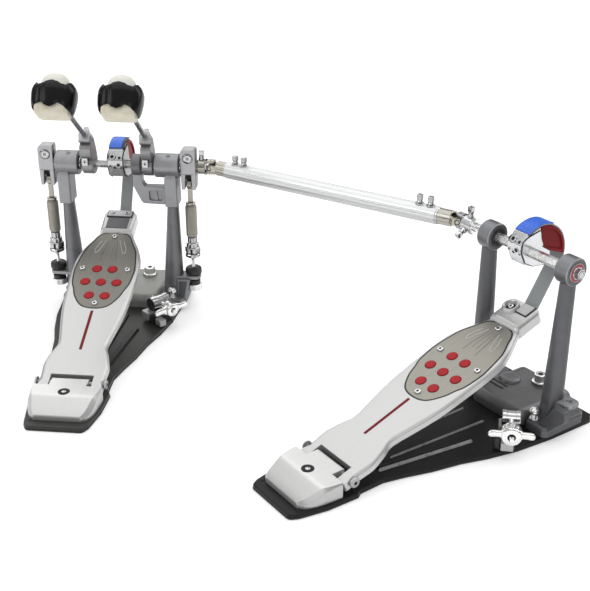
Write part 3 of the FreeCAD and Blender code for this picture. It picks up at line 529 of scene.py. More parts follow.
bridge_dark = material("bridge_casting_dark", (0.16, 0.16, 0.165), 0.40, 0.5, vary=0.10, grain=60, bump=0.10, bump_grain=1200,
                       bands=SHADE, facing=LEFT_UP)
plate_black = material("black_steel", (0.0105, 0.0107, 0.0110), 0.32, 0.0, vary=0.15, grain=30, rough_vary=0.02, bump=0.04, bump_grain=1800, Specular_IOR_Level=0.19)
# a lighter copy of the black steel for the primary's base: painted sheen standing in for its brighter reflection
painted_sheen_plate = material("black_steel_painted_sheen", (0.036, 0.036, 0.033), 0.36, 0.0, vary=0.15, grain=30, rough_vary=0.02, bump=0.04, bump_grain=1800, Specular_IOR_Level=0.25)
# painted shade and painted highlight for the ridges' long flanks
flank_painted_shade = material("black_steel_flank_painted_shade", (0.012, 0.012, 0.012), 0.40, 0.0, vary=0.15, grain=60, Specular_IOR_Level=0.2)
flank_painted_highlight = material("black_steel_rib_painted_highlight", (0.336, 0.338, 0.339), 0.30, 0.30, vary=0.15, grain=60)
rubber = material("base_rubber", (0.014, 0.014, 0.015), 0.62, 0.0, vary=0.25, grain=60, bump=0.25, bump_grain=1500)
soft_black = material("grommet_rubber", (0.012, 0.012, 0.013), 0.42, 0.0, vary=0.2, grain=120, bump=0.12, bump_grain=1500)
# near-black: painted shadow in sockets, holes and slots, and the own colour of black screws, shields and joint lines
dark = material("black_and_painted_shadow", (0.010, 0.010, 0.011), 0.7, 0.0, vary=0.3, grain=200)
# painted reflections for the bright metals: light and dark zones of a studio, set by the way a surface faces,
# multiplied into the colour
CHROME_PAINTED_REFLECTION = [(0.0, 0.30), (0.25, 0.24), (0.36, 0.07), (0.46, 0.30), (0.56, 0.66), (0.64, 0.30), (0.72, 0.70), (0.80, 0.42), (0.90, 0.90), (1.0, 0.80)]
SOFT_PAINTED_REFLECTION = [(0.0, 0.40), (0.30, 0.26), (0.42, 0.46), (0.55, 0.95), (0.66, 0.62), (0.76, 0.86), (0.92, 0.98), (1.0, 0.92)]
LIGHT_PAINTED_REFLECTION = [(0.0, 0.45), (0.28, 0.30), (0.40, 0.50), (0.56, 0.92), (0.66, 0.74), (0.76, 0.95), (1.0, 1.0)]
chrome = material("bright_steel", (0.80, 0.80, 0.81), 0.10, 1.0, vary=0.03, grain=60, rough_vary=0.04, bands=CHROME_PAINTED_REFLECTION)
cam_chrome = material("cam_chrome", (0.74, 0.745, 0.76), 0.22, 0.8, vary=0.04, grain=70, rough_vary=0.05, bands=SOFT_PAINTED_REFLECTION)
nickel = material("nickel_steel", (0.475, 0.454, 0.401), 0.24, 1.0, vary=0.06, grain=90, rough_vary=0.07,
                  bands=SOFT_PAINTED_REFLECTION)
# axle_steel carries painted reflection bands of its own
axle_steel = material("axle_steel", (0.90, 0.90, 0.89), 0.20, 0.9, vary=0.04, grain=20, stretch=(1, 12, 12),
                      bands=[(0.0, 0.55), (0.28, 0.48), (0.40, 0.70), (0.56, 1.0), (0.66, 0.84), (0.76, 1.0), (1.0, 1.0)])
shaft_steel = material("shaft_steel", (0.93, 0.935, 0.94), 0.26, 1.0, vary=0.06, grain=40, stretch=(8, 1, 1), bands=SOFT_PAINTED_REFLECTION)
# painted shade: the tube's colour darkens on its lower half, with a sharp change just below the middle, by the way a
# surface faces
tube_white = material("tube_alloy", (0.76, 0.765, 0.77), 0.32, 0.60, vary=0.02, grain=14, stretch=(1, 16, 16), bump=0.02,
                      bump_grain=60, bump_stretch=(1, 30, 30), bands=[(0.0, 0.62), (0.40, 0.70), (0.47, 0.74), (0.50, 0.97), (1.0, 1.0)],
                      facing=(0.0, 0.0, 1.0))
spring_wire = material("spring_steel", (0.40, 0.378, 0.332), 0.46, 0.55, vary=0.08, grain=200, rough_vary=0.08)
bearing = material("bearing_steel", (0.075, 0.075, 0.08), 0.30, 1.0, vary=0.08, grain=120)
shell_black = material("beater_shell", (0.005, 0.005, 0.006), 0.18, 0.0, vary=0.2, grain=40, rough_vary=0.04, bump=0.02,
                       bump_grain=300, Specular_IOR_Level=0.22)
felt_drum = felt("beater_felt", (0.86, 0.855, 0.80), (0.77, 0.765, 0.70))
felt_back = felt("beater_felt_back", (0.72, 0.68, 0.56), (0.62, 0.57, 0.45))
blue = material("cam_blue", (0.018, 0.125, 0.66), 0.26, 0.0, vary=0.10, grain=60, bump=0.05, bump_grain=900)
red_core = material("cam_red", (0.20, 0.008, 0.011), 0.45, 0.0, vary=0.15, grain=70, bump=0.05, bump_grain=900, Specular_IOR_Level=0.10)
red_ring = material("bearing_red", (0.45, 0.02, 0.04), 0.40, 0.0, vary=0.10, grain=120)
grip_rim = material("grip_red_rim", (0.17, 0.006, 0.010), 0.5, 0.0, vary=0.15, grain=160, bump=0.12, bump_grain=1800, Specular_IOR_Level=0.2)
grip = material("grip_red", (0.42, 0.010, 0.018), 0.45, 0.0, vary=0.12, grain=160, bump=0.12, bump_grain=1800, Specular_IOR_Level=0.25)
stripe_red = material("stripe_red", (0.17, 0.005, 0.010), 0.50, 0.0, vary=0.10, grain=160, Specular_IOR_Level=0.25)
# painted reflection: a plate whose faces turn towards -x, as the slave's does, is made lighter than the primary's
traction = material("traction_alloy", (0.285, 0.276, 0.243), 0.38, 0.85, vary=0.07, grain=9, stretch=(26, 1.0, 26), bump=0.06,
                    bump_grain=70, bump_stretch=(30, 1, 30),
                    bands=[(0.0, 0.78), (0.5, 0.80), (0.63, 1.16), (1.0, 1.16)], facing=(-1.0, 0.0, 0.0))
belt_cloth = woven("belt_fabric", (0.26, 0.28, 0.285), (0.47, 0.495, 0.50))


# ------------------------------------------------------------------ pieces
def weigh_normals(me):
    """Corner normals weighted by face size, so that flats beside rounded edges stay flat."""
    nl, nf = len(me.loops), len(me.polygons)
    lv, le, start, total = (np.empty(k, np.int32) for k in (nl, nl, nf, nf))
    me.loops.foreach_get("vertex_index", lv)
    me.loops.foreach_get("edge_index", le)
    me.polygons.foreach_get("loop_start", start)
    me.polygons.foreach_get("loop_total", total)
    size, nrm = np.empty(nf), np.empty(nf * 3)
    me.polygons.foreach_get("area", size)
    me.polygons.foreach_get("normal", nrm)
    sharp = np.empty(len(me.edges), bool)
    me.edges.foreach_get("use_edge_sharp", sharp)
    face = np.repeat(np.arange(nf), total)
    nxt = np.arange(nl) + 1
    nxt[start + total - 1] = start
    order = np.argsort(le, kind="stable")
    a, b = order[:-1], order[1:]
    two = (le[a] == le[b]) & ~sharp[le[a]]
    a, b = a[two], b[two]
    flip = lv[a] == lv[b]
    p = np.concatenate([a, nxt[a]])
    q = np.concatenate([np.where(flip, b, nxt[b]), np.where(flip, nxt[b], b)])
    label = np.arange(nl)
    while True:
        low = np.minimum(label[p], label[q])
        before = label.copy()
        np.minimum.at(label, p, low)
        np.minimum.at(label, q, low)
        label = label[label]
        if np.array_equal(before, label):
            break
    acc = np.zeros((nl, 3))
    np.add.at(acc, label, nrm.reshape(-1, 3)[face] * size[face][:, None])
    out = acc[label]
    out /= np.maximum(np.linalg.norm(out, axis=1, keepdims=True), 1e-12)
    me.normals_split_custom_set(out.tolist())


def piece(name, geo, body, mats, at=P, replaces=(), sharp=34, blend=None):
    me = bpy.data.meshes.new(name)
    me.from_pydata([(x * MM, y * MM, z * MM) for x, y, z in geo.v], [], geo.f)
    me.polygons.foreach_set("material_index", geo.m)
    for m in mats if isinstance(mats, (list, tuple)) else [mats]:
        me.materials.append(m)
    bm = bmesh.new()
    bm.from_mesh(me)
    loose = [v for v in bm.verts if not v.link_faces]
    if loose:
        bmesh.ops.delete(bm, geom=loose, context="VERTS")
    bmesh.ops.recalc_face_normals(bm, faces=bm.faces)
    bm.to_mesh(me)
    bm.free()
    co = [0.0] * (3 * len(me.vertices))
    me.vertices.foreach_get("co", co)
    me.attributes.new("own", "FLOAT_VECTOR", "POINT").data.foreach_set("vector", co)
    place = at.copy()
    place.translation = place.translation * MM
    me.transform(place)
    me.shade_smooth()
    me.set_sharp_from_angle(angle=math.radians(sharp))
    if not blend:
        weigh_normals(me)
    ob = bpy.data.objects.new(name, me)
    scene.collection.objects.link(ob)
    if blend:
        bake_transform(ob)
    else:
        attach(ob, body)
    if replaces:
        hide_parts(*([replaces] if isinstance(replaces, str) else replaces))
    return ob


# --- small hardware
def key_bolt(length=11.0, flange=5.2):
    """Square-headed tension screw, standing along Z from its seat."""
    g = lathe([(0, 0), (flange - 0.3, 0), (flange, 0.4), (flange - 0.2, 1.3), (3.8, 2.5), (3.1, 3.4), (3.1, length - 7), (0, length - 7)], 28)
    sq = rounded([(-3.0, -3.0), (3.0, -3.0), (3.0, 3.0), (-3.0, 3.0)], 0.5, 3)
    return g.add(prism(sq, [(0.9, length - 7.4), (0.25, length - 6.4), (0, length - 5.4), (0, length - 0.7), (0.25, length - 0.2), (0.9, length)]))


def button_screw(r=3.85, h=1.75, socket=1.5):
    """Round-headed screw with a dark hexagon socket; material 1 is the socket."""
    g = lathe([(0, 0), (r, 0), (r, 0.35), (0.93 * r, 0.75 * h), (0.72 * r, 0.96 * h), (socket + 0.35, h), (socket, h - 0.15)], 28)
    g.f.pop()
    g.m.pop()
    g2 = lathe([(socket, h - 0.15), (socket * 0.94, 0.35 * h), (0, 0.35 * h)], 28, [1, 1])
    g2.f.pop()
    g2.m.pop()
    o = len(g.v) - 28
    base = len(g.v)
    g.v += g2.v[28:]
    g.f += [tuple(o + i if i < 28 else base + i - 28 for i in q) for q in g2.f]
    g.m += g2.m
    return g


def hex_bolt(af=10.0, flange=7.5, high=6.5, hole=0.0):
    """Flanged hexagon bolt; material 1 is its socket."""
    g = lathe([(0, 0), (flange - 0.4, 0), (flange, 0.4), (flange - 0.5, 1.0), (af * 0.56, 1.7), (0, 1.7)], 36)
    hx = rounded(hexagon(af, 0.3), 0.5, 2)
    g.add(prism(hx, [(0.2, 1.5), (0, 2.0), (0, high - 0.7), (0.5, high - 0.25), (1.4, high)],
                [ring_pts(hole, 18)] if hole else []))
    if hole:
        g.add(lathe([(0, high - 3), (hole + 0.3, high - 3), (hole + 0.3, high - 2.4), (0, high - 2.4)], 18, [1, 1, 1]))
    return g


def spur(z0, z1):
    """Threaded spur with a domed head."""
    g = thread(2.9, z0, z1 - 6.5, 1.1, 0.4)
    g.add(lathe([(0, z1 - 6.6), (5.3, z1 - 6.4), (5.8, z1 - 5.6), (5.8, z1 - 3.8), (5.1, z1 - 1.9), (3.5, z1 - 0.6), (1.5, z1), (0, z1)], 28))
    return g


# ------------------------------------------------------------------ base
RIGHT = [(33, -332), (38, -322), (44, -290), (45, -252), (41, -246), (40, -215), (46, -190), (55, -160),
         (62, -126), (72, -95), (80, -60), (85, -10), (86, 50), (80, 58)]


def squeeze(y, ls):
    return 1.0 if y < -190 else 1.0 + (ls - 1.0) * min(1.0, (y + 190) / 110.0)


def base_outline(ls):
    rad = {(33, -332): 7, (38, -322): 9, (44, -290): 20, (45, -252): 1.5, (41, -246): 3, (40, -215): 14, (80, 58): 4, (86, 50): 5}
    right = [(x, y, rad.get((x, y), 22)) for x, y in RIGHT]
    return right + [(-x * squeeze(y, ls), y, r) for x, y, r in reversed(right)]


def ridge(x0, y0, x1, y1, wide, flank, high):
    """A pressed stiffening ridge on the base plate."""
    d = Vector((x1 - x0, y1 - y0)).normalized()
    n = Vector((-d.y, d.x)) * (wide / 2)
    pts = [(x0 - n.x, y0 - n.y), (x0 + n.x, y0 + n.y), (x1 + n.x, y1 + n.y), (x1 - n.x, y1 - n.y)]
    g = prism(rounded(pts, wide * 0.45, 5), [(0, 5.7), (0.15, 6.15), (flank * 0.8, 6.0 + 0.86 * high), (flank * 1.1, 6.0 + high)])
    # the long flank on the right-hand side gets material 1: painted highlight on the slave's plate, painted shade on
    # the primary's
    for i, f in enumerate(g.f):
        a, b, c = (Vector(g.v[f[k]]) for k in (0, 1, 2))
        nrm = (b - a).cross(c - a).normalized()
        if nrm.x * -n.x + nrm.y * -n.y > 0.25 * wide / 2 and abs(nrm.z) > 0.2:
            g.m[i] = 1
    return g


def base(pre, at, ls, body):
    loop = rounded(base_outline(ls), 5, 5)
    piece(pre + "pad", prism(loop, [(1.4, 0), (0.4, 0.25), (0, 0.9), (0, 1.8), (0.25, 2.3), (0.8, 2.5)]), body, rubber, at,
          pre + "base_pad")
    g = prism(loop, [(0.6, 2.5), (0.6, 5.0), (0.8, 5.5), (1.3, 5.85), (2.0, 6.0)])
    for s in (1, -1):
        k = 1.0 if s > 0 else ls
        g.add(ridge(s * 23.2, -211, s * 39.8 * k, -90, 9.0, 2.4, 2.6))
        g.add(ridge(s * 13.2, -186, s * 18.8 * k, -52, 5.0, 1.4, 2.0))
    for x, y in ((40, -262), (-40, -262), (34, -318), (-34, -318)):
        g.add(lathe([(0, 5.8), (3.0, 5.8), (2.9, 6.2), (2.2, 6.6), (0, 6.75)], 20), T(x * 0.93, y, 0))
    # primary: lighter painted-sheen steel with painted shade on the ridge flanks; slave: black steel with painted
    # highlight on the ridge flanks
    piece(pre + "plate", g, body, [painted_sheen_plate, flank_painted_shade] if pre == "primary_" else [plate_black, flank_painted_highlight], at, pre + "baseplate")


def heel(pre, at, body):
    rows = [(-318, 27.0, 25.6, 11.6), (-317.3, 29.0, 27.0, 12.7), (-315.2, 32.0, 29.0, 14.0), (-311.5, 34.8, 30.8, 15.8),
            (-306, 37.2, 32.6, 18.2), (-300, 38.8, 34.2, 20.8), (-295, 39.6, 35.6, 23.0), (-292, 40.0, 36.4, 24.1),
            (-289.5, 40.2, 37.0, 24.42), (-286, 40.5, 37.8, 24.5), (-279, 40.9, 39.1, 24.5), (-273, 41.3, 39.9, 24.5), (-270.0, 41.4, 40.1, 24.5)]
    rings = []
    for y, wb, wt, z in rows:
        zf = max(7.0, z - 1.15 * (wb - wt) - 0.6)
        right = [(wb, 6.0), (wb, zf - 0.5), (wb - 0.2, zf + 0.1), (wt + 0.25, z - 0.25), (wt - 0.25, z - 0.03), (wt - 0.9, z)]
        sect = right + [(wt * 0.5, z), (0, z), (-wt * 0.5, z)] + [(-x, q) for x, q in reversed(right)]
        rings.append([(x, y, q) for x, q in sect])
    g = loft(rings)
    tongue = rounded([(-270.1, 6.2, 0), (-270.1, 24.5, 0), (-258.6, 24.5, 0), (-252.8, 24.5, 5.2), (-252.8, 12.6, 3), (-262, 6.2, 1)], 1, 7)
    g.add(slab(tongue, -22.3, 22.3, 0.5), YZ)
    piece(pre + "heel", g, body, heel_alloy, at, pre + "heel_plate", sharp=24)
    # recessed black cap screw with a bright pin in its socket
    b = lathe([(0, 24.3), (7.0, 24.3), (7.0, 24.75), (6.5, 25.0), (4.6, 25.05), (2.8, 24.9), (2.7, 24.4), (0, 24.35)], 32)
    piece(pre + "heel_screw", b, body, dark, at @ T(0, -284, -0.1), sharp=40)
    c = lathe([(0, 24.2), (2.0, 24.2), (1.9, 24.75), (1.2, 24.95), (0, 25.0)], 6)
    piece(pre + "heel_screw_core", c, body, chrome, at @ T(0, -284, -0.1))
    # hinge pin: bar and two round heads
    g = rod(2.5, -40.2, 40.2, 0.3)
    for s in (1, -1):
        head = lathe([(0, 40.0), (5.9, 40.0), (6.0, 40.5), (5.9, 41.9), (5.2, 42.9), (3.4, 43.3), (2.0, 43.2), (1.5, 42.5), (0, 42.4)], 28, [0, 1, 0, 0, 0, 0, 1, 1])
        g.add(head, None if s > 0 else R(180, "X"))
    piece(pre + "hinge_pin", g, body, [cast_light, dark], at @ T(0, -255, 18.7) @ XAX)


# ------------------------------------------------------------------ posts
def ellipse(cx, a, b, z, n=36):
    return [(cx + a * math.cos(2 * math.pi * i / n), b * math.sin(2 * math.pi * i / n), z) for i in range(n)]


def post(pre, name, at, body, x_low, x_high, wide, foot, top, barrel=None, tab=None, hole=3.25, node=None, web=None):
    fx0, fx1 = foot
    outline = rounded([(fx0 + 4, -26), (fx1 - 4, -26), (fx1, -20), (fx1, 34), (fx1 - 6, 42), (fx0 + 6, 42), (fx0, 34), (fx0, -20)], 5, 5)
    g = prism(outline, [(0.4, 6.02), (0, 6.6), (0, 12.5), (0.5, 15.5), (1.6, 17.2), (3.4, 18.0)])
    rings = []
    z0 = 16.0
    for t in (-0.02, 0.0, 0.02, 0.045, 0.08, 0.13, 0.25, 0.4, 0.55, 0.7, 0.85, 1.0):
        flare = 3.2 * max(0.0, 1 - max(t, 0) / 0.13) ** 2.2
        k = max(t, 0.0)
        rings.append(ellipse(x_low + (x_high - x_low) * k, wide - (wide - 7.4) * k + flare * 0.3, 12 - 2 * k + flare, z0 + (top - z0) * t))
    g.add(loft(rings))
    if tab:
        tx, ty = tab
        s = 1 if tx > 0 else -1
        xo = tx + s * 9.6
        arm = [(x_low, ty - 11, 1), (tx - s * 6, ty - 9.6, 4), (xo, ty - 9.6, 8.5), (xo, ty + 9.6, 8.5), (tx - s * 6, ty + 9.6, 4), (x_low, ty + 11, 1)]
        t2 = slab(rounded(arm, 6, 7), 41, 46, 1.1, [ring_pts(hole, 28, tx, ty)])
        t2.add(hoop(hole + 0.02, hole + 3.2, 45.4, 46.6, 0.5), T(tx, ty, 0))
        if web == "front":
            fin = rounded([(79.6, 10, 0), (79.6, 43, 0), (97.5, 43, 0), (94.6, 31, 9), (90, 10, 3)], 2, 6)
            t2.add(slab(fin, -15.1, -11.3, 0.9), XZ)
            t2.add(slab(rounded([(80.5, 12, 1), (82, 41, 1), (93.4, 41, 2), (91.2, 30.5, 6), (87.4, 12, 2)], 2, 5), -15.7, -15.0, 0.25, mat=1), XZ)
        elif web == "back":
            fin = rounded([(-69.5, 10, 0), (-69.5, 43, 0), (-77.6, 43, 0), (-76.0, 29, 6), (-74.0, 10, 3)], 2, 6)
            t2.add(slab(fin, 8.1, 11.9, 0.9), XZ)
        else:
            # sloping gusset from the front of the foot up to the tab
            fin = rounded([(66, 10, 1), (86, 43, 2), (100.6, 43, 3), (103.6, 33, 4), (82, 10, 3)], 2, 6)
            t2.add(slab(fin, -15, -6, 0.9, mat=1), XZ @ Matrix(((1, 0, 0, 0), (0, 1, 0, 0), (0, 0.20, 1, -8.6), (0, 0, 0, 1))))
        piece(pre + name + "_tab", t2, body, [cast_mid, cast], at)
    # ring lip where the column meets the foot
    g.add(loft([ellipse(x_low, wide - 13 + a, b, z) for a, b, z in ((15.0, 15.4, 17.4), (15.4, 15.8, 18.2), (15.1, 15.5, 19.4), (14.0, 14.2, 20.0))]))
    if barrel:
        b0, b1 = barrel
        prof = [(11.1, b0), (14.6, b0), (15.75, b0 + 1.2), (15.75, b1 - 1.2), (14.6, b1), (11.1, b1)]
        # the rim chamfers take the lighter housing casting: painted highlight along the barrel's rims
        g.add(lathe(prof + [prof[0]], 56, [2, 1, 2, 1, 2, 0]), T(0, 0, H) @ XAX)
        # the column runs up into the barrel
        g.add(loft([ellipse(x_high, 7.4, 10.0, top - 3), ellipse(x_high, 7.4, 11.2, top - 1.0), ellipse(x_high, 7.2, 13.0, H - 7.6)]))
    piece(pre + name, g, body, [cast, cast_mid, barrel_cast] if barrel else cast_post, at, node or pre + name)


def housing(pre, name, body, barrel, blk, node, outrigger=False):
    b0, b1 = barrel
    x0, x1 = blk
    g = Geo()
    prof = [(11.1, b0), (15.0, b0), (15.75, b0 + 0.8), (15.75, b1 - 0.8), (15.0, b1), (11.1, b1)]
    g.add(lathe(prof + [prof[0]], 64), T(0, 0, H) @ XAX)
    body_loop = rect(x0, x1, -15, 13, 2.4, 5)
    g.add(prism(body_loop, [(1.2, 147.5), (0.3, 147.9), (0, 148.8), (0, 186), (1.4, 190.0), (2.6, 191.4)]))
    # oil dimple ring on top of the barrel
    g.add(hoop(1.5, 2.7, 15.3, 15.95, 0.25, 24), T((b0 + b1) / 2 + 2, -3, H) @ R(8, "X"))
    if outrigger:
        arm = [(72, 147.6, 2), (72, 172, 0.5), (41, 172, 4), (38, 178, 4), (38, 192, 0), (26, 192, 0), (26, 172, 5), (37, 148.6, 7)]
        window = rect(47, 63.5, 153.2, 166.5, 2.0, 4)
        g.add(slab(rounded(arm, 2, 6), -6.5, 6.5, 1.0, [window]), XZ)
        g.add(slab(rect(46.8, 63.7, 153.0, 166.7, 2.0, 4), -3.6, 3.6, 0.4), XZ)
        g.add(slab(rounded([(51.5, 153.2), (58.8, 153.2), (56.6, 166.4), (53.6, 166.4)], 1, 3), -5.2, 5.2, 0.9), XZ)
        g.add(hoop(9.05, 14.0, 26, 38, 0.8, 48, 1), T(0, 0, H) @ XAX)
    piece(pre + name, g, body, [cast_mid, cast_post], P, node)


def bearings(pre, at, body, places, node):
    """Each bearing: outer race, shield and inner race."""
    g = Geo()
    for x0, x1, ro, facing in places:
        g.add(hoop(ro - 2.4, ro, x0, x1, 0.4, 40), T(0, 0, H) @ XAX)
        g.add(hoop(6.9, ro - 2.3, x0 + 0.7, x1 - 0.7, 0.2, 40, 1), T(0, 0, H) @ XAX)
        g.add(hoop(5.06, 7.0, x0 + 0.1, x1 - 0.1, 0.3, 40), T(0, 0, H) @ XAX)
    piece(pre + "bearing_set", g, body, [bearing, dark], at, node)


def clamp_stand(pre, at, body, bx):
    """Cross barrel that carries the wing screw's thread, on its pale stand with rubber feet."""
    w = at @ T(80, -72, 29.5) @ R(-45, "Z") @ T(bx, 0, 0)
    g = block(-8.4, 8.4, -7, 7, -19.6, -5.4, 2.0, 0.9)
    g.add(block(-9.2, 9.2, -9.2, 9.2, -23.4, -19.0, 2.4, 1.0, mat=1))
    if pre == "primary_":
        feet = ((-9, 6.5, -22, -6, -19.6, -9.4, 0), (7, 14.5, -20, -4, -23.4, -11.6, 1), (17, 30, -18, -8.5, -21, -12.6, 0))
    else:
        feet = ((-9, 8, -13, -5, -19, -8.6, 0), (22, 33, -17.5, -11, -23.4, -8.6, 1), (24, 36, -10.5, 3.5, -22.4, -12.2, 0))
    for x0, x1, y0, y1, z0, z1, m in feet:
        g.add(block(x0, x1, y0, y1, z0, z1, 1.4, 0.9, mat=m))
    g.add(block(6, feet[2][1] - 4, -7, 5, -23.4, -18.6, 1.4, 0.8, mat=1))
    piece(pre + "clamp_stand", g, body, [cast_light, soft_black], w)
    e, q = (0.0, 0.0) if pre == "slave_" else (3.0, 1.2)
    g = lathe([(0, -9.2 - e), (6.4 + q, -9.2 - e), (7.0 + q, -9.9 - e), (8.2 + q, -10.1 - e), (8.9 + q, -9.4 - e), (8.9 + q, -5.4), (8.4 + q, -5.0), (8.4 + q, 5.0),
               (8.9 + q, 5.4), (8.9 + q, 9.4 + e), (8.2 + q, 10.1 + e), (7.0 + q, 9.9 + e), (6.4 + q, 9.2 + e), (0, 9.2 + e)], 48, [1, 1] + [0] * 9 + [1, 1])
    piece(pre + "clamp_barrel", g, body, [chrome, dark], w @ T(0, 0, -1.6) @ R(-90, "X"), sharp=30)


def wing(pre, at, body, node):
    """Wing screw: keyed hub, two looped wings and a threaded stem, along local X."""
    w = at @ T(80, -72, 29.5) @ R(-45, "Z")
    k = 0.82 if pre == "hoop_" else 1.0
    hub = lathe([(0, -5), (9.6, -5), (11.0, -3.8), (11.2, 0.6), (10.4, 2.0), (10.4, 6.0), (11.0, 7.0), (10.6, 8.8), (9.2, 9.8), (4.6, 10.0), (4.1, 8.6), (0, 8.6)],
                40, [0] * 9 + [1, 1])
    g = Geo().add(hub, XAX @ Matrix.Diagonal((k, k, 1, 1)))
    for s in (1, -1):
        rows = []
        for y, zc, hz, hx, xc in ((6.5, 0, 7.2, 3.8, 3.2), (10.4, 0.2, 5.4, 3.0, 4.0), (12.0, 0.8, 3.9, 2.3, 4.8), (16.5, 1.0, 4.0, 2.25, 4.9),
                                  (20.5, 0.6, 4.3, 2.2, 4.9), (23.4, 0.2, 3.6, 2.0, 4.9), (24.7, 0.0, 2.0, 1.3, 4.9), (25.0, 0, 0.6, 0.5, 4.9)):
            rows.append([(xc + hx * math.copysign(abs(math.cos(a)) ** 0.75, math.cos(a)), s * y,
                          zc + hz * math.copysign(abs(math.sin(a)) ** 0.75, math.sin(a)))
                         for a in [2 * math.pi * i / 20 for i in range(20)]])
        g.add(loft(rows))
    sq = rounded([(-2.5, -2.5), (2.5, -2.5), (2.5, 2.5), (-2.5, 2.5)], 0.5, 3)
    g.add(prism(sq, [(0.2, 9.2), (0, 9.6), (0, 14.8), (0.6, 15.5)]), YZ)
    g.add(thread(3.0, -40, -1.9, 1.25, 0.35), XAX)
    piece(pre + "wing_screw", g, body, [axle_steel, dark], w, node, sharp=40)


def bridge(pre, at, body, x0, x1, bolts, jaw, node):
    out = rounded([(x0, -30, 13), (x1, -30, 15), (x1, 57, 11), (x0, 57, 11)], 5, 9)
    soft = [1.0 if y < 40 or not jaw else 0.25 for x, y in out]
    g = prism(out, [(0.5, 6.05), (0, 6.6), (0, 13.5), (0.5, 17.2), (1.8, 20.2), (4.0, 22.4), (6.6, 23.6), (9.4, 24.0)],
              [ring_pts(3.3, 24, x, 48) for x in (-26, -4)] if jaw else (), soft)
    for x in bolts:
        g.add(lathe([(0, 20), (11.4, 20), (10.4, 23.0), (9.8, 25.2), (9.2, 26.0), (0, 26.0)], 36), T(x, 38, 0))
    mats = [bridge_cast, dark]
    if jaw:
        g.add(block(-36, 4, 52.5, 84, 8, 14, 4.0, 1.0))
    else:
        mats = [bridge_dark, dark]
        # raised smooth pad at the rear and two slots in the saddle
        lobe = [(-9 + 13.5 * math.cos(a), 15.5 + 13.0 * math.sin(a)) for a in [2 * math.pi * i / 48 for i in range(48)]]
        g.add(prism(lobe, [(0, 22.5), (0.4, 24.6), (1.4, 26.2), (3.2, 27.3), (5.6, 27.9), (8.6, 28.1)]))
        # the slots are dark slabs laid on the saddle: painted shade for their insides
        for sy in (-8.6, -1.6):
            g.add(slab(rect(-24.5, 2.5, sy, sy + 3.0, 1.4, 5), 22.5, 24.3, 0.2, mat=1))
    piece(pre + "front_bridge", g, body, mats, at, node)


def frame_bolts(pre, at, body, bolts, spurs, node):
    g = Geo()
    for x in bolts:
        g.add(hex_bolt(13.4, 9.4, 10.0, 3.2), T(x, 38, 26.05))
    for x in spurs:
        g.add(spur(12, 33), T(x, -18.2, 0))
        g.add(hoop(2.9, 5.8, 18.0, 19.8, 0.4, 6), T(x, -18.2, 0))
    piece(pre + "fasteners", g, body, [axle_steel, dark], at, node, sharp=38)


def pedal_frame(side, at, ls, body, barrel_x):
    pre = side + "_"
    base(pre, at, ls, body)
    heel(pre, at, body)
    clamp_stand(pre, at, body, barrel_x)


pedal_frame("primary", P, 0.97, "primary_frame", -25.0)
pedal_frame("slave", S, 0.78, "slave_frame", -33.0)

post("primary_", "left_stand", P, "primary_frame", -63.5, -64.5, 14.0, (-79, -49), 147.4, tab=(-87.5, 0.0), node="primary_left_post", web="back")
post("primary_", "right_stand", P, "primary_frame", 72, 76.5, 14.2, (58, 90), 147.4, tab=(100.0, 0.0), node="primary_right_post", web="front")
post("slave_", "left_stand", S, "slave_frame", -42, -43.5, 13.0, (-60, -28), 190, barrel=(-50, -32), node="slave_left_post")
post("slave_", "right_stand", S, "slave_frame", 69, 73, 13.0, (54, 86), 190, barrel=(65, 83), tab=(89.0, 5.0), node="slave_right_post", web="gusset")
housing("primary_", "left_block", "primary_frame", (-75, -45), (-73, -56.5), "primary_left_housing")
housing("primary_", "right_block", "primary_frame", (56.5, 88), (69, 85.5), "primary_right_housing", True)
bearings("primary_", P, "primary_frame", [(-75.05, -68, 11, 0), (-52, -44.95, 11, 0), (56.45, 63.5, 11, 0), (81, 88.05, 11, 0),
                                          (25.95, 31.5, 9, 0), (32.5, 38.05, 9, 0)], "primary_bearings")
bearings("slave_", S, "slave_frame", [(-50.05, -43, 11, 0), (-39, -31.95, 11, 0), (64.95, 72, 11, 0), (76, 83.05, 11, 0)], "slave_bearings")
bridge("primary_", P, "primary_frame", -48.5, 57.5, (30, -40), True, "primary_bridge")
bridge("slave_", S, "slave_frame", -27.5, 53.5, (17,), False, "slave_bridge")
frame_bolts("primary_", P, "primary_frame", (30, -40), (73,), "primary_bolts")
frame_bolts("slave_", S, "slave_frame", (17,), (62,), "slave_bolts")
wing("hoop_", P, "hoop_screw", "hoop_wing_screw")
wing("slave_", S, "slave_screw", "slave_wing_screw")

# red seal and bright washer on the slave's outer bearing
g = hoop(5.6, 9.6, 82.7, 83.6, 0.3, 48).add(hoop(9.6, 10.6, 82.6, 83.8, 0.3, 48, 1))
piece("slave_outer_seal", g, "slave_frame", [red_ring, cast_light], S @ T(0, 0, H) @ XAX)

# hoop jaw: pressed clamp with a rubber sole and two guide pins
g = slab(rounded([(-31.5, 44, 4), (1.5, 44, 4), (1.5, 82, 6), (-31.5, 82, 6)], 4, 6), 32.2, 37, 1.2)
g.add(slab(rect(-26, -4, 49, 77, 4, 5), 36.5, 37.0, 0.2))
for x in (-26, -4):
    g.add(rod(3, 17, 33, 0.5), T(x, 48, 0))
g.add(slab(rounded([(-31, 58, 2), (1, 58, 2), (1, 81.6, 5), (-31, 81.6, 5)], 4, 6), 31.0, 32.4, 0.5, mat=1))
piece("hoop_jaw_plate", g, "hoop_jaw", [cast, soft_black], P, "hoop_clamp_jaw")


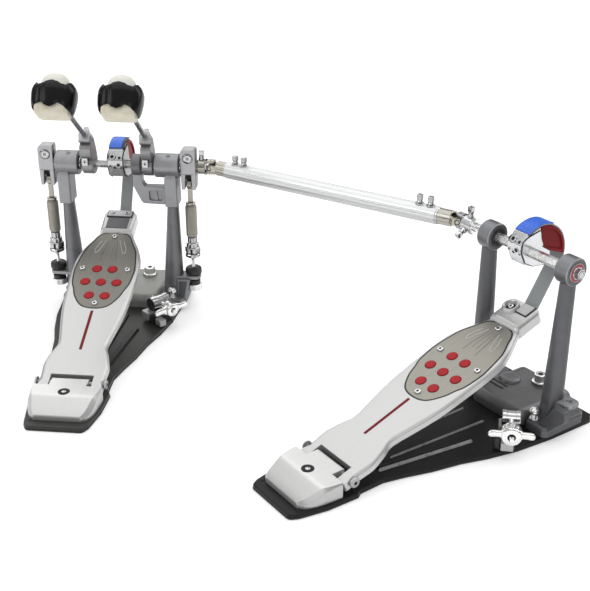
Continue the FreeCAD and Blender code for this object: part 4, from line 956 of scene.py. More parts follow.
# ------------------------------------------------------------------ footboards
BOARD_HALF = [(0, 38), (14, 39), (27, 39.5), (45, 35), (60, 30.5), (86, 34.8), (110, 39), (131, 41.2), (162, 42.5),
              (190, 43), (212, 41.5), (231, 35), (244, 28.5), (258, 22), (266, 22)]
PLATE_HALF = [(119, 0), (123, 16), (138, 27), (152, 32), (163, 36), (183, 38), (194, 37.5), (214, 34.5), (224, 32),
              (239, 25), (248, 21), (254, 15), (257, 0)]
DOTS = [(-0.5, 1), (0.5, 1), (-1, 0), (0, 0), (1, 0), (-0.5, -1), (0.5, -1)]
PLATE_SCREWS = [(0, 249.6), (29.6, 187.9), (-29.6, 187.9), (0, 126.5)]


def plate_outline(steps=5):
    pts = [(w, v) for v, w in PLATE_HALF] + [(-w, v) for v, w in reversed(PLATE_HALF[1:-1])]
    return spline(pts, steps)


def grown(poly, d):
    return offset(ccw(poly), -d)


def footboard(side, at, body):
    pre = side + "_"
    at = at @ BOARD
    half = spline([(w, v) for v, w in BOARD_HALF], 5, closed=False)
    right = [(25.4, 9.0), (25.4, -11), (26.9, -12), (36, -12), (38.6, -10.5), (39, -7)] + [(w, v) for w, v in half if v > 1]
    loop, weights = [], []
    for w, v in right:
        loop.append((w, v))
        weights.append(0.14 if (v < 9.5 and w < 30) or v < -6 else (0.3 if v > 262 else 1.0))
    loop = loop + [(-w, v) for w, v in reversed(right)]
    weights = weights + weights[::-1]
    # flat top, polished bevel, upright rim and a hollow underside
    g = prism(loop, [(4.4, -1.75), (4.2, -5.4), (3.8, -5.8), (0.5, -5.8), (0, -5.2), (0, 0.9), (0.3, 1.7), (1.1, 2.8), (2.2, 3.65), (3.3, 4.1), (4.4, 4.25)],
              weights=weights)
    # toe clevis: a raised block with a ramp towards the heel
    toe = rounded([(-22, 256, 5), (22, 256, 5), (22, 292, 3), (18, 297, 3), (-18, 297, 3), (-22, 292, 3)], 3, 5)
    tw = [1.0 + 2.6 * max(0.0, min(1.0, (264 - y) / 8.0)) for x, y in toe]
    t2 = prism(toe, [(0.6, -7), (0, -6.2), (0, 3.6), (0.25, 5.8), (0.9, 7.6), (1.7, 8.6), (2.4, 9.0)], weights=tw)
    # raised horn with a sunk screw beside the belt clamp
    if side == "slave":
        t2.add(lathe([(0, 9.3), (5.6, 9.3), (6.2, 10.0), (6.9, 11.9), (8.0, 12.6), (9.2, 12.2), (10.2, 10.4), (11.0, 7.4), (0, 7.4)], 44, [1] + [0] * 7), T(-10.6, 281.5, 0))
    piece(pre + "toe_clevis", t2, body, [alloy, dark], at, sharp=20)
    piece(pre + "board", g, body, alloy, at, pre + "footboard", sharp=20)

    # dark gasket line, traction plate with pressed ribs
    outline = plate_outline()
    piece(pre + "plate_gasket", prism(grown(outline, 1.8), [(0, 4.0), (0, 4.28), (0.3, 4.36)], [offset(ccw(outline), 0.6)]),
          body, soft_black, at)
    g = prism(outline, [(0, 3.4), (0, 4.3), (0.35, 4.45)])
    for s in (1, -1):
        petal = [(8.4, 243, 4.42), (12.0, 232, 4.42), (15.4, 222, 4.42), (17.4, 218.2, 4.42), (19.8, 218.6, 4.42), (20.6, 222, 4.42),
                 (18.4, 231, 4.42), (14.6, 240, 4.42)]
        g.add(wire([(s * x, y, z) for x, y, z in spline(petal, 5, closed=False)], 0.50, 8), mat=1)
        fan = [(5.2, 241, 4.40), (8.4, 222, 4.40), (9.6, 203, 4.40)]
        g.add(wire([(s * x, y, z) for x, y, z in spline(fan, 5, closed=False)], 0.42, 6))
        fan = [(1.6, 243, 4.40), (2.6, 228, 4.40), (3.0, 212, 4.40)]
        g.add(wire([(s * x, y, z) for x, y, z in spline(fan, 5, closed=False)], 0.36, 6))
    piece(pre + "tread", g, body, [traction, alloy], at, pre + "traction_plate", sharp=30)

    # grip dots and stripe
    g = Geo()
    for u, v in DOTS:
        # the dots' rounded rims take a darker red: painted shade round the domed edge
        dot = lathe([(0, 4.1), (6.7, 4.1), (6.7, 4.35), (6.4, 4.75), (5.6, 5.2), (3.6, 5.45), (1.8, 5.55), (0, 5.58)], 40, [0, 1, 1, 1, 0, 0, 0])
        g.add(dot, T(u * 20.3, 163.9 + v * 23.8, 0))
    piece(pre + "grip_dots", g, body, [grip, grip_rim], at, pre + "red_inlays")
    g = slab(rect(-1.9, 1.9, 48.8, 114, 1.2, 4), 3.9, 4.36, 0.15)
    piece(pre + "stripe", g, body, stripe_red, at)

    # plate screws, clevis screw, belt clamp plate
    g = Geo()
    for u, v in PLATE_SCREWS:
        g.add(button_screw(), T(u, v, 4.42))
    if side == "slave":
        g.add(button_screw(3.6, 2.0, 1.5), T(-10.6, 281.5, 9.2))
        # a dark slab just wider than the clamp plate: painted shadow round its edges
        g.add(slab(rect(-1.2, 16.6, 277.2, 295.6, 1.2, 3), 8.4, 9.3, 0.1, mat=1))
        g.add(slab(rect(0.2, 15.2, 278.6, 294.4, 1.0, 4), 8.6, 10.6, 0.5, mat=2))
    else:
        # a dark slab just wider than the clamp plate: painted shadow round its edges
        g.add(slab(rect(-17.4, 17.4, 282.4, 296.0, 1.2, 3), 8.4, 9.4, 0.1, mat=1))
        g.add(slab(rect(-16.2, 16.2, 283.8, 295.2, 1.4, 4), 8.6, 11.2, 0.6, mat=2))
        g.add(slab(rect(-14.6, 14.6, 261.6, 282.0, 1.2, 4), 8.6, 9.35, 0.2, mat=3))
        for x in (-9.5, 9.5):
            g.add(button_screw(3.0, 1.5, 1.2), T(x, 289.5, 11.0))
    piece(pre + "board_screws", g, body, [chrome, dark, cast_light, cast], at, pre + "board_fittings")


footboard("primary", P, "primary_footboard")
footboard("slave", S, "slave_footboard")

# ------------------------------------------------------------------ cams and belts
CY, CZ = 19.0, H - 11.8


def arc(r, a0, a1, n, cy=CY, cz=CZ):
    return [(cy + r * math.cos(math.radians(a0 + (a1 - a0) * i / n)), cz + r * math.sin(math.radians(a0 + (a1 - a0) * i / n)))
            for i in range(n + 1)]


def on_board(v, w):
    t = math.radians(19.34)
    return (-255 + v * math.cos(t) - w * math.sin(t), 18.7 + v * math.sin(t) + w * math.cos(t))


def cam(side, at, axle, board, base_body):
    pre = side + "_"
    # chrome carrier: clamp block on the hexagon axle, side cheeks and a front face with its screws
    prof = rounded([(-9, H - 9, 3), (-15, H + 3, 4), (-14.2, H + 10, 3)] + [(y, z, 0.5) for y, z in arc(40.6, 127, 126, 1)]
                   + [(y, z, 0) for y, z in arc(36.6, 126, 97, 8)]
                   + [(15, H + 15, 1), (22, H + 2, 3), (14, H - 9, 4), (20, H - 17, 2), (8, H - 20, 3), (-6, H - 15, 4)], 2, 4)
    g = slab(prof, -4.0, 16.0, 0.9)
    cheek = rounded([(-12.5, H + 1, 4), (-12, H + 13, 3), (-4, H + 17.5, 2), (13.5, H + 21.5, 2), (17.5, H + 2, 3), (30, H - 6, 2), (35, H - 23, 2.5),
                     (6, H - 18.5, 3), (-6, H - 12, 4)], 3, 5)
    seam = grown(cheek, 1.9 if side == "primary" else 0.8)
    for x0, x1, x2 in ((15.6, 16.5, 17.3), (-3.6, -4.5, -5.3)):
        g.add(slab(seam, min(x0, x1), max(x0, x1), 0.05, mat=1), None)
        g.add(slab(cheek, min(x1, x2), max(x1, x2), 0.35), None)
    g2 = Geo().add(g, YZ)
    g2.add(hoop(5.9, 8.6, -5.4, 17.4, 0.6, 40), T(0, 0, H) @ XAX)
    # front face: two clamp screws, a split line under them and a slot above
    g2.add(lathe([(0, 0), (5.2, 0), (5.2, 0.4), (4.9, 0.7), (4.3, 0.6), (4.2, 1.0), (3.8, 1.3), (2.3, 1.35), (2.1, 0.5), (0, 0.5)], 30, [0, 0, 0, 1, 0, 0, 0, 1, 1]),
           aim((2.2, -11.6, H + 13.2), (0, -0.78, 0.62)))
    for x, z, r, b in ((11.6, H + 12.4, 1.9, 0), (10.4, H + 3.5, 2.3, 1), (-0.8, H + 1.6, 1.5, 1), (5.0, H - 0.6, 2.0, 1), (13.6, H - 0.8, 1.4, 1)):
        g2.add(lathe([(0, 0), (r + 0.8, 0), (r + 0.8, 0.3), (r, 0.35), (r, 0.15), (0, 0.15)], 20, [0, 0, 0, 1, 1]),
               aim((x, -12.3 if z > H + 9 else -15.0 + 0.5 * max(0.0, H + 3 - z), z), (0, -0.78, 0.62) if z > H + 9 else (0, -1, -0.45 if z < H + 3 else 0)))
    piece(pre + "cam_block", g2, axle, [cam_chrome, dark], at, pre + "cam_carrier")

    # red core: a filled web inside a raised rim
    dee = arc(36.8, 95, -6, 40) + [(24.0, H - 4.2), (20.4, H - 1.0), (19.4, H + 6), (16.4, H + 15.2)]
    g = slab(dee, -2.6, 14.6, 0.3)
    hollow = offset(ccw(dee), 3.6)
    for x0, x1 in ((-4.0, -2.4), (14.4, 16.0)):
        g.add(slab(dee, x0, x1, 0.4, [hollow]))
    piece(pre + "cam_core", Geo().add(g, YZ), axle, red_core, at, pre + "cam_inserts")
    r0, r1, ahead = 38.95, 40.4, 121 if side == "primary" else 125
    edge = 12.6 if side == "primary" else 16.5
    g = slab(arc(r1, ahead, 68, 32) + arc(r0, 68, ahead, 32), -4.5, edge, 0.45)
    if edge < 16:
        g.add(slab(arc(r1 - 0.5, ahead, 68, 32) + arc(r0, 68, ahead, 32), edge - 0.2, 16.4, 0.3, mat=1))
    piece(pre + "cam_strip", Geo().add(g, YZ), axle, [blue, soft_black], at, sharp=40)

    # belt: the wrap follows the cam, the strap follows the board
    b0, b1 = 37.1, 38.7

    def ribbon(a, b):
        rings = []
        lo, hi = (-2.0, 13.4) if side == "primary" else (-3.6, 15.2)
        for (y0, z0), (y1, z1) in zip(a, b):
            rings.append([(lo, y0, z0), (lo + 0.4, y0 * 0.9 + y1 * 0.1, z0 * 0.9 + z1 * 0.1), (5.5, y0, z0), (hi - 0.4, y0 * 0.9 + y1 * 0.1, z0 * 0.9 + z1 * 0.1), (hi, y0, z0),
                          (hi, y1, z1), (hi - 0.6, y1, z1), (5.5, y1, z1), (lo + 0.6, y1, z1), (lo, y1, z1)])
        return loft(rings)

    leave_in, leave_out = arc(b0, -30.4, -30.4, 1)[0], arc(b1, -30.4, -30.4, 1)[0]
    end_out, end_in = on_board(298.2, 9.0), on_board(299.5, 8.0)

    def run(p, q, n):
        return [(p[0] + (q[0] - p[0]) * i / n, p[1] + (q[1] - p[1]) * i / n) for i in range(n + 1)]

    low_a = run(leave_in, end_out, 24) + [on_board(296.5, 7.9), on_board(289, 7.9), on_board(281, 7.9)]
    low_b = run(leave_out, end_in, 24) + [on_board(297.5, 6.2), on_board(289, 6.2), on_board(281, 6.2)]

    def world(y, z):
        p = at @ Vector((5.5, y, z)) * MM
        return tuple(p)

    # the two parts meet halfway down the strap
    tan_y, tan_z = arc(37.9, -30.4, -30.4, 1)[0]
    k = 11
    join_y, join_z = [(low_a[k][i] + low_b[k][i]) / 2 for i in (0, 1)]
    piece(pre + "belt_wrap", ribbon(arc(b0, 124.5, -30.4, 72) + low_a[1:k + 1], arc(b1, 124.5, -30.4, 72) + low_b[1:k + 1]), None, belt_cloth, at, pre + "belt",
          blend=(base_body, axle, world(join_y, join_z), world(tan_y - 10.6, tan_z + 40)))
    ty, tz = on_board(298, 8.2)
    piece(pre + "belt_strap", ribbon(low_a[k:], low_b[k:]), None, belt_cloth, at, pre + "belt",
          blend=(base_body, board, world(join_y, join_z), world(join_y + 0.9 * (ty - join_y), join_z + 0.9 * (tz - join_z))))


cam("primary", P, "primary_axle", "primary_footboard", "primary_frame")
cam("slave", S, "slave_axle", "slave_footboard", "slave_frame")

# ------------------------------------------------------------------ beaters
lean = math.radians(51.3)
S_DIR = Vector((0, -math.sin(lean), math.cos(lean)))
N_DIR = Vector((0, math.cos(lean), math.sin(lean)))


def shaft_frame(x):
    """Local Z along the shaft, local Y out of the drum felt."""
    m = Matrix(((1, 0, 0, x), (0, N_DIR.y, S_DIR.y, -8.64), (0, N_DIR.z, S_DIR.z, H + 38.2), (0, 0, 0, 1)))
    return m


def table(points, a):
    """Straight-line look-up, smoothed."""
    for (a0, v0), (a1, v1) in zip(points, points[1:]):
        if a <= a1:
            t = (a - a0) / (a1 - a0)
            t = t * t * (3 - 2 * t)
            return v0 + (v1 - v0) * t
    return points[-1][1]


TOP_EDGE = [(0, 12.7), (20, 11.0), (38, 7.5), (46, 6.8), (55, 10.0), (70, 12.5), (90, 13.0), (110, 12.5), (125, 10.0), (134, 6.8), (142, 7.5),
            (160, 11.0), (180, 12.7)]
LOW_EDGE = [(0, -21.0), (15, -19.5), (30, -16.0), (42, -18.0), (58, -21.5), (75, -23.0), (90, -23.5), (105, -23.0), (122, -21.5), (138, -18.0),
            (150, -16.0), (165, -19.5), (180, -21.0)]


def shell():
    """Glossy head: a barrel with waved lips, open to the felts."""
    n, v, f = 144, [], []
    outer, inner = 12, 4
    cols = outer + inner
    for i in range(n):
        phi = 2 * math.pi * i / n
        c, s = math.cos(phi), math.sin(phi)
        a = abs(math.degrees(math.atan2(c, s)))          # 0 faces away from the hub, 90 is a side
        base_r = (abs(c / 27.0) ** 2.5 + abs(s / 20.6) ** 2.5) ** (-1 / 2.5)
        fold = min(a, 180 - a)
        base_r *= 1 - 0.045 * math.exp(-((fold - 29) / 6.0) ** 2)
        top, low = table(TOP_EDGE, a), table(LOW_EDGE, a)
        if c < 0:                                        # the left lip is cut higher
            low += 5.6 * math.exp(-((a - 78) / 30.0) ** 2)

        def prof(nn):
            return max(0.35, (1 - (nn / 22.0) ** 2)) ** 0.5 if nn > 0 else 1 - 0.045 * (abs(nn) / 15.0) ** 2.2

        for j in range(outer):
            t = j / (outer - 1)
            nn = top + (low - top) * t
            lip = 1.0 - 0.02 * (1 if j in (0, outer - 1) else 0)
            r = base_r * prof(nn) * lip
            v.append((r * c, nn, r * s))
        for j in range(inner):
            t = j / (inner - 1)
            nn = (low + 0.5) + ((top - 0.5) - (low + 0.5)) * t
            r = base_r * prof(nn) - 1.9
            v.append((r * c, nn, r * s))
    for i in range(n):
        a, b = i * cols, ((i + 1) % n) * cols
        for j in range(cols):
            k = (j + 1) % cols
            f.append((a + j, a + k, b + k, b + j))
    return made(v, f)


def felt_dome():
    rows, n = [], 64
    for k in range(15):
        t = k / 14
        nn = 4.0 + 21.6 * math.sin(t * math.pi / 2) ** 0.92
        w = max(0.02, math.cos(t * math.pi / 2) ** 0.62)
        hx, hs = 18.2 * w, 14.6 * w
        if k == 0:
            hx, hs = 17.6, 14.2
        rows.append([(hx * math.copysign(abs(math.cos(q)) ** 0.86, math.cos(q)), nn, hs * math.copysign(abs(math.sin(q)) ** 0.86, math.sin(q)))
                     for q in [2 * math.pi * i / n for i in range(n)]])
    return loft(rows)


def felt_block():
    rows, n = [], 64
    for nn, hx, hs in ((-1.0, 20.6, 15.6), (-10, 20.4, 15.8), (-18, 20.0, 15.4), (-22, 19.8, 15.2), (-24.8, 19.6, 15.0), (-25.8, 19.2, 14.6),
                       (-26.2, 18.2, 13.6), (-26.3, 16.0, 11.6)):
        rows.append([(hx * math.copysign(abs(math.cos(q)) ** 0.30, math.cos(q)), nn, hs * math.copysign(abs(math.sin(q)) ** 0.30, math.sin(q)))
                     for q in [2 * math.pi * i / n for i in range(n)]])
    return loft(rows)


def beater(side, x, width, body, screws_slot):
    pre = side + "_"
    fr = shaft_frame(x)
    head = fr @ T(0, 0, 137.6)
    piece(pre + "beater_shell", shell(), body, shell_black, head, pre + "beater", sharp=60)
    piece(pre + "drum_felt", felt_dome(), body, felt_drum, head, sharp=70)
    piece(pre + "back_felt", felt_block(), body, felt_back, head, sharp=60)
    g = rod(3.3, -18, 129, 0.6, 40)
    g.add(lathe([(0, 112), (4.2, 112), (5.2, 113), (5.8, 118), (5.8, 124), (0, 124)], 36))
    piece(pre + "beater_rod", g, body, shaft_steel, fr, sharp=40)

    # hub: collar on the axle, arm with a curved back, split grip on the shaft
    x0, x1 = x - width / 2, x + width / 2
    g = Geo().add(hoop(5.9, 14.0, x0, x1, 0.9, 56), T(0, 0, H) @ XAX)
    arm = spline([(-11.5, H + 6), (-16.6, H + 14), (-18.8, H + 23), (-17.6, H + 28), (-13, H + 31), (-8, H + 35.5), (-4.5, H + 39.5), (-0.5, H + 38), (4, H + 31.5),
                  (9, H + 20), (12.6, H + 7), (9, H - 3), (-8, H - 3)], 4)
    g.add(slab(arm, x0 + 0.1, x1 - 0.1, 1.1), YZ)
    piece(pre + "hub", g, body, hub_grey, P, pre + "beater_hub", sharp=30)
    # grip clamp and its lip round the shaft
    g = lathe([(3.35, -7.5), (7.4, -7.5), (8.2, -6.8), (8.2, -1.2), (7.6, -0.7), (7.6, 0.7), (8.2, 1.2), (8.2, 6.6), (7.4, 7.5), (5.2, 7.7), (4.8, 9.0), (3.35, 9.0),
               (3.35, -7.5)], 44)
    g.add(block(-7.4, 7.4, -9.2, -3.0, 0.6, 7.0, 1.4, 0.8))
    # a dark block under the grip's front overhang: painted shadow
    g.add(block(-6.8, 6.8, -8.9, -3.0, -1.6, 0.8, 0.6, 0.1, mat=1))
    piece(pre + "grip_sleeve", g, body, [cast_light, dark], fr)
    sq = rounded([(-3.2, -3.2), (3.2, -3.2), (3.2, 3.2), (-3.2, 3.2)], 0.6, 3)
    g = prism(sq, [(0.3, 7.4), (0, 8.2), (0, 12.3), (0.4, 12.8), (1.2, 13.0)])
    g.add(lathe([(0, 7.2), (4.5, 7.2), (4.7, 7.7), (4.2, 8.8), (0, 8.8)], 28))
    piece(pre + "grip_key", g, body, axle_steel, fr @ aim((0, 0, 0.5), (0, 1, 0)))
    # square lock bolt in front of the axle
    g = block(-3.9, 3.9, -5.6, 5.6, 11.0, 17.6, 1.0, 0.8)
    g.add(lathe([(0, 17.4), (2.6, 17.4), (2.6, 17.9), (2.1, 18.0), (1.3, 18.0), (1.2, 17.7), (0, 17.7)], 24, [0, 0, 0, 0, 1, 1]))
    piece(pre + "hub_set_screw", g, body, [chrome, dark], aim((x - 1.5, 0, H + 7), (0, -1, 0)))


beater("left", -31.5, 15.0, "primary_axle", None)
beater("right", 47.6, 13.6, "secondary_axle", None)


# ------------------------------------------------------------------ rockers
def rocker(side, x0, x1, body):
    pre = side + "_"
    mid = (x0 + x1) / 2
    def part(out, inset):
        loop = [(mid + x, H + z) for x, z in rounded(out, 2, 6)]
        return prism(loop, [(1.2, inset - 9), (0.4, inset - 8.7), (0, inset - 7.9), (0, 7.9 - inset), (0.4, 8.7 - inset), (1.2, 9 - inset)])
    # crown over the axle, two legs beside the slot
    g2 = Geo().add(part([(-10, 24.5, 6.5), (-10, -9.6, 0.8), (10, -9.6, 0.8), (10, 24.5, 3.5)], 0), XZ)
    g2.add(part([(-10, -6, 0.8), (-9.2, -30, 2.4), (-4.9, -30, 1.6), (-3.4, -6, 0.8)], 0.05), XZ)
    g2.add(part([(3.6, -6, 0.8), (4.6, -30, 1.6), (9.4, -30, 2.4), (10, -6, 0.8)], 0.05), XZ)
    # a dark block set back inside the slot: painted shade in place of the see-through opening
    g2.add(block(mid - 4.2, mid + 4.4, -3.0, 8.2, H - 17.4, H - 9.0, 0.6, 0.2, mat=1))
    g2.add(hoop(5.2, 8.0, x0 - 0.5, x1 + 0.5, 0.5, 40), T(0, 0, H) @ XAX)
    # a dark strip down the inner side, drawn as a clamp split: painted shade for that side; and the sunk bolt's rim
    edge = x1 if side == "left" else x1
    g2.add(block(edge - 0.4, edge + 0.12, -5.0, -1.6, H - 11, H + 23.4, 0.3, 0.05, mat=1))
    g2.add(hoop(6.1, 6.9, 8.6, 9.1, 0.1, 40, 1), aim((mid, 0, H + 13), (0, -1, 0)))
    piece(pre + "rocker_body", g2, body, [hub_cast, dark], P, pre + "rocker", sharp=30)
    g = lathe([(0, 8.6), (6.1, 8.6), (6.1, 9.2), (5.6, 9.6), (4.4, 9.8), (4.2, 9.5), (2.2, 9.5), (2.0, 9.0), (0, 9.0)], 36, [0, 0, 0, 0, 0, 0, 1, 1])
    piece(pre + "rocker_bolt", g, body, [chrome, dark], aim((mid, 0, H + 13), (0, -1, 0)))
    g = rod(2.0, x0 + 0.2, x1 - 0.2, 0.4)
    for x in (x0, x1 - 1.2):
        g.add(lathe([(0, x), (3.0, x), (3.3, x + 0.4), (3.3, x + 0.9), (3.0, x + 1.2), (0, x + 1.2)], 24))
    piece(pre + "rocker_pin", g, body, chrome, T(0, 0, H - 24.3) @ XAX,
          "primary_axle_screws" if side == "left" else "secondary_axle_screws")


rocker("left", -98, -78, "primary_axle")
rocker("right", 90, 110, "secondary_axle")


# ------------------------------------------------------------------ springs
def spring(side, x):
    pre, low, high = side + "_spring_", side + "_spring_anchor", side + "_spring_top"
    at = T(x, 0, 0)
    g = thread(2.3, 23, 74, 0.9, 0.3)
    piece(pre + "stud", g, low, axle_steel, at, pre + "rod")
    # adjuster: faceted chrome nut between two round collars, with a slot in its front
    six = rounded(hexagon(18.4, 0.0), 1.6, 4)
    g = prism(six, [(1.8, 78.0), (0.5, 78.8), (0, 79.8), (0, 85.4), (0.5, 86.4), (1.8, 87.2)])
    g.add(lathe([(0, 73.0), (9.0, 73.0), (10.0, 73.8), (10.0, 76.8), (9.2, 77.8), (7.2, 78.4), (0, 78.4)], 44))
    g.add(lathe([(0, 86.8), (7.4, 86.8), (8.2, 87.5), (8.2, 92.2), (7.4, 93.0), (6.0, 93.2), (6.0, 94.4), (6.4, 94.8), (6.4, 100.3), (5.6, 101.0), (0, 101.0)], 44))
    # the slot is a dark slab on the front face: painted shade for its inside
    g.add(slab(rect(-1.6, 1.6, 79.2, 85.8, 1.0, 4), -9.4, -8.6, 0.15, mat=1), XZ)
    piece(pre + "adjuster", g, low, [chrome, dark], at, sharp=32)
    # knurled lock nut
    g = lathe([(0, 24.6), (9.4, 24.6), (10.3, 25.4), (10.3, 31.8), (9.4, 32.6), (0, 32.6)], 72,
              shape=lambda a, z: 1.0 - 0.035 * (1 if int(round(a * 72 / (2 * math.pi))) % 2 else 0))
    piece(pre + "lock_nut", g, low, axle_steel, at, sharp=28)
    # grommets
    g = lathe([(2.6, 48.2), (10.2, 48.2), (11.0, 48.9), (11.0, 53.6), (10.4, 55.4), (8.6, 56.7), (5.4, 57.3), (2.6, 57.4), (2.6, 48.2)], 44)
    lower = [(2.6, 32.9), (8.0, 32.9), (8.6, 33.5), (8.6, 37.6), (8.0, 38.3), (2.6, 38.3)]
    g.add(lathe(lower + [lower[0]], 44))
    piece(pre + "rubbers", g, low, soft_black, at, pre + "grommets")
    # close-wound coil between the adjuster and the hook
    turns, path = 28, []
    for i in range(turns * 20 + 1):
        t = i / (turns * 20)
        e = min(t, 1 - t) * turns
        r = 6.9 - 1.4 * max(0.0, 1 - e / 1.6) ** 1.6
        a = 2 * math.pi * turns * t
        path.append((r * math.cos(a), r * math.sin(a), 102.0 + 44.0 * t))
    piece(pre + "winding", wire(path, 0.78, 8), None, spring_wire, at, pre + "coil",
          blend=(low, high, (x * MM, 0, 101.5 * MM), (x * MM, 0, 146.5 * MM)))
    # hook: plug and cap on the coil, flat link and an eye round the rocker pin
    g = lathe([(0, 139.6), (3.6, 139.6), (4.0, 140.2), (4.0, 147.0), (5.6, 147.1), (6.4, 147.8), (6.4, 149.8), (5.6, 150.5), (0, 150.5)], 36)
    link = rounded([(-3.2, 150, 0), (3.2, 150, 0), (3.2, 172, 0), (-3.2, 172, 0)], 0, 2)
    g.add(slab(link, -2.0, 2.0, 0.6), XZ)
    g.add(hoop(3.9, 6.5, -3.2, 3.2, 0.5, 44), T(0, 0, 176) @ XAX)
    piece(pre + "eye_hook", g, high, nickel, at, pre + "hook", sharp=38)


spring("left", -87.5)
spring("right", 100.0)


# ------------------------------------------------------------------ axles
def hex_bar(x0, x1, af=10.0):
    return prism(rounded(hexagon(af, math.pi / 6), 0.4, 2), [(1.1, x0), (0.4, x0 + 0.4), (0, x0 + 1.0), (0, x1 - 1.0), (0.4, x1 - 0.4), (1.1, x1)])


AX = T(0, 0, H) @ XAX
g = hex_bar(-41.5, 25.7).add(rod(5.0, -98.5, -41.4, 0.6)).add(rod(5.0, 25.6, 31.6, 0.5))
piece("primary_axle_bar", g, "primary_axle", axle_steel, AX, "primary_hex_axle")
g = hex_bar(39.2, 55.8).add(rod(5.0, 32.4, 39.4, 0.5)).add(rod(5.0, 55.7, 121.2, 0.6))
piece("secondary_axle_bar", g, "secondary_axle", axle_steel, AX, "secondary_hex_axle")
# bright spacer rings either side of the housings
for name, spots, body in (("primary_spacers", ((-77.6, -75.6, 9.4), (-44.4, -42.2, 9.2)), "primary_axle"),
                          ("secondary_spacers", ((88.4, 89.8, 9.4), (110.2, 111.6, 8.0), (54.4, 56.0, 8.6)), "secondary_axle")):
    g = Geo()
    for a, b, r in spots:
        g.add(hoop(5.02, r, a, b, 0.4, 40))
    piece(name, g, body, chrome, AX)

# ------------------------------------------------------------------ drive shaft
J1, J2 = Vector((131, 0, H)), Vector((445.0210, -150.3546, H))
run_dir = (J2 - J1).normalized()
span = (J2 - J1).length
SHAFT = T(*J1) @ R(math.degrees(math.atan2(run_dir.y, run_dir.x)), "Z")
FAR = T(*J2) @ R(math.degrees(math.atan2(run_dir.y, run_dir.x)), "Z")


def fork(back, mid, tall, bore):
    """Joint fork along X: turned barrel, shoulders and two drilled arms."""
    s = 1 if mid > 0 else -1
    lo, hi = sorted((back, mid))
    prof = [(0, lo), (8.6, lo), (9.6, lo + 0.9), (9.6, hi - 0.9), (8.6, hi), (0, hi)]
    g = Geo().add(lathe(prof, 40), XAX)
    out = rounded([(s * (abs(mid) + 0.8), -4.6, 0), (s * 2, -4.6, 4), (-s * 4.5, -4.5, 4.4), (-s * 4.5, 4.5, 4.4), (s * 2, 4.6, 4), (s * (abs(mid) + 0.8), 4.6, 0)], 2, 6)
    for sgn in (1, -1):
        a, b = sorted((sgn * 5.6, sgn * 9.2))
        arm = slab(out, a, b, 0.7, [ring_pts(bore, 24)])
        # shoulder that blends the arm into the barrel
        fil = slab(rounded([(s * (abs(mid) + 1), -6.4, 0), (s * (abs(mid) - 3.2), -4.6, 2), (s * (abs(mid) - 3.2), 4.6, 2), (s * (abs(mid) + 1), 6.4, 0)], 1, 4), a, b - sgn * 0.0, 0.6)
        one = Geo().add(arm).add(fil)
        g.add(one, None if tall else R(-90, "X"))
    return g


def pin_caps(tall):
    g = Geo()
    for sgn in (1, -1):
        c = lathe([(0, 8.6), (2.3, 8.6), (2.3, 8.95), (1.7, 9.15), (0.9, 9.05), (0.8, 8.7), (0, 8.7)], 20, [0, 0, 0, 0, 1, 1])
        m = R(0 if sgn > 0 else 180, "X")
        g.add(c, m if tall else R(-90, "X") @ m)
    return g


g = fork(-19, -9, True, 2.42)
piece("secondary_fork", g, "secondary_axle", nickel, T(*J1), "secondary_yoke")
piece("secondary_fork_key", key_bolt(13.0, 3.8), "secondary_axle", chrome, T(*J1) @ T(-14, 0, 9.3))
g = fork(9, 23.8, False, 3.1)
g.add(rod(6.9, 23.5, 63, 0.6, 36), XAX)
piece("tube_fork", g, "drive_tube", nickel, SHAFT, "tube_yoke")
g = Geo()
for sx in (36, 49, span - 52, span - 38):
    g.add(key_bolt(11.2, 4.2), T(sx, 0, 10.6))
    g.add(hoop(3.4, 5.6, 10.1, 11.0, 0.3, 28), T(sx, 0, 0))
piece("tube_keys", g, "drive_tube", chrome, SHAFT)

# drive tube: an extrusion with fine lengthwise grooves
n_pts = 180
loop = []
for i in range(n_pts):
    a = 2 * math.pi * i / n_pts
    deg = math.degrees(a) % 360
    r = 10.75
    for c in (90 - 4, 90 + 4, 158, 202, 338, 22, 270):
        d = abs((deg - c + 180) % 360 - 180)
        if d < 2.2:
            r -= 0.34 * (1 - d / 2.2)
    loop.append((r * math.cos(a), r * math.sin(a)))
g = prism(loop, [(0.8, 24), (0.2, 24.3), (0, 25), (0, span - 29), (0.2, span - 28.3), (0.8, span - 28)], [ring_pts(7.08, 48)])
piece("tube", g.moved(lambda y, z, x: (x, y, z)), "drive_tube", tube_white, SHAFT, "drive_tube", sharp=50)
g = hoop(7.1, 10.2, 22.2, 24.2, 0.5, 48).add(hoop(7.1, 10.4, span - 28.2, span - 25.8, 0.6, 48))
piece("tube_collars", Geo().add(g, XAX), "drive_tube", cam_chrome, SHAFT)

g = fork(-27, -9, False, 3.1)
g.add(rod(7.0, -138.5, -26.5, 0.8, 40), XAX)
piece("sliding_rod", g, "drive_rod", nickel, FAR, "drive_rod")


def cross():
    g = block(-4.3, 4.3, -4.3, 4.3, -4.3, 4.3, 1.2, 1.0)
    g.add(rod(2.4, -8.9, 8.9, 0.4, 24))
    g.add(rod(2.4, -8.9, 8.9, 0.4, 24), R(90, "X"))
    for m in (P, R(90, "X")):
        for s in (1, -1):
            g.add(hoop(2.35, 3.6, 4.2, 5.3, 0.3, 24), m @ R(0 if s > 0 else 180, "Y" if m == P else "X"))
    return g


piece("left_cross_piece", cross(), "left_cross", nickel, SHAFT, "left_joint_cross")
piece("right_cross_piece", cross(), "right_cross", nickel, FAR, "right_joint_cross")

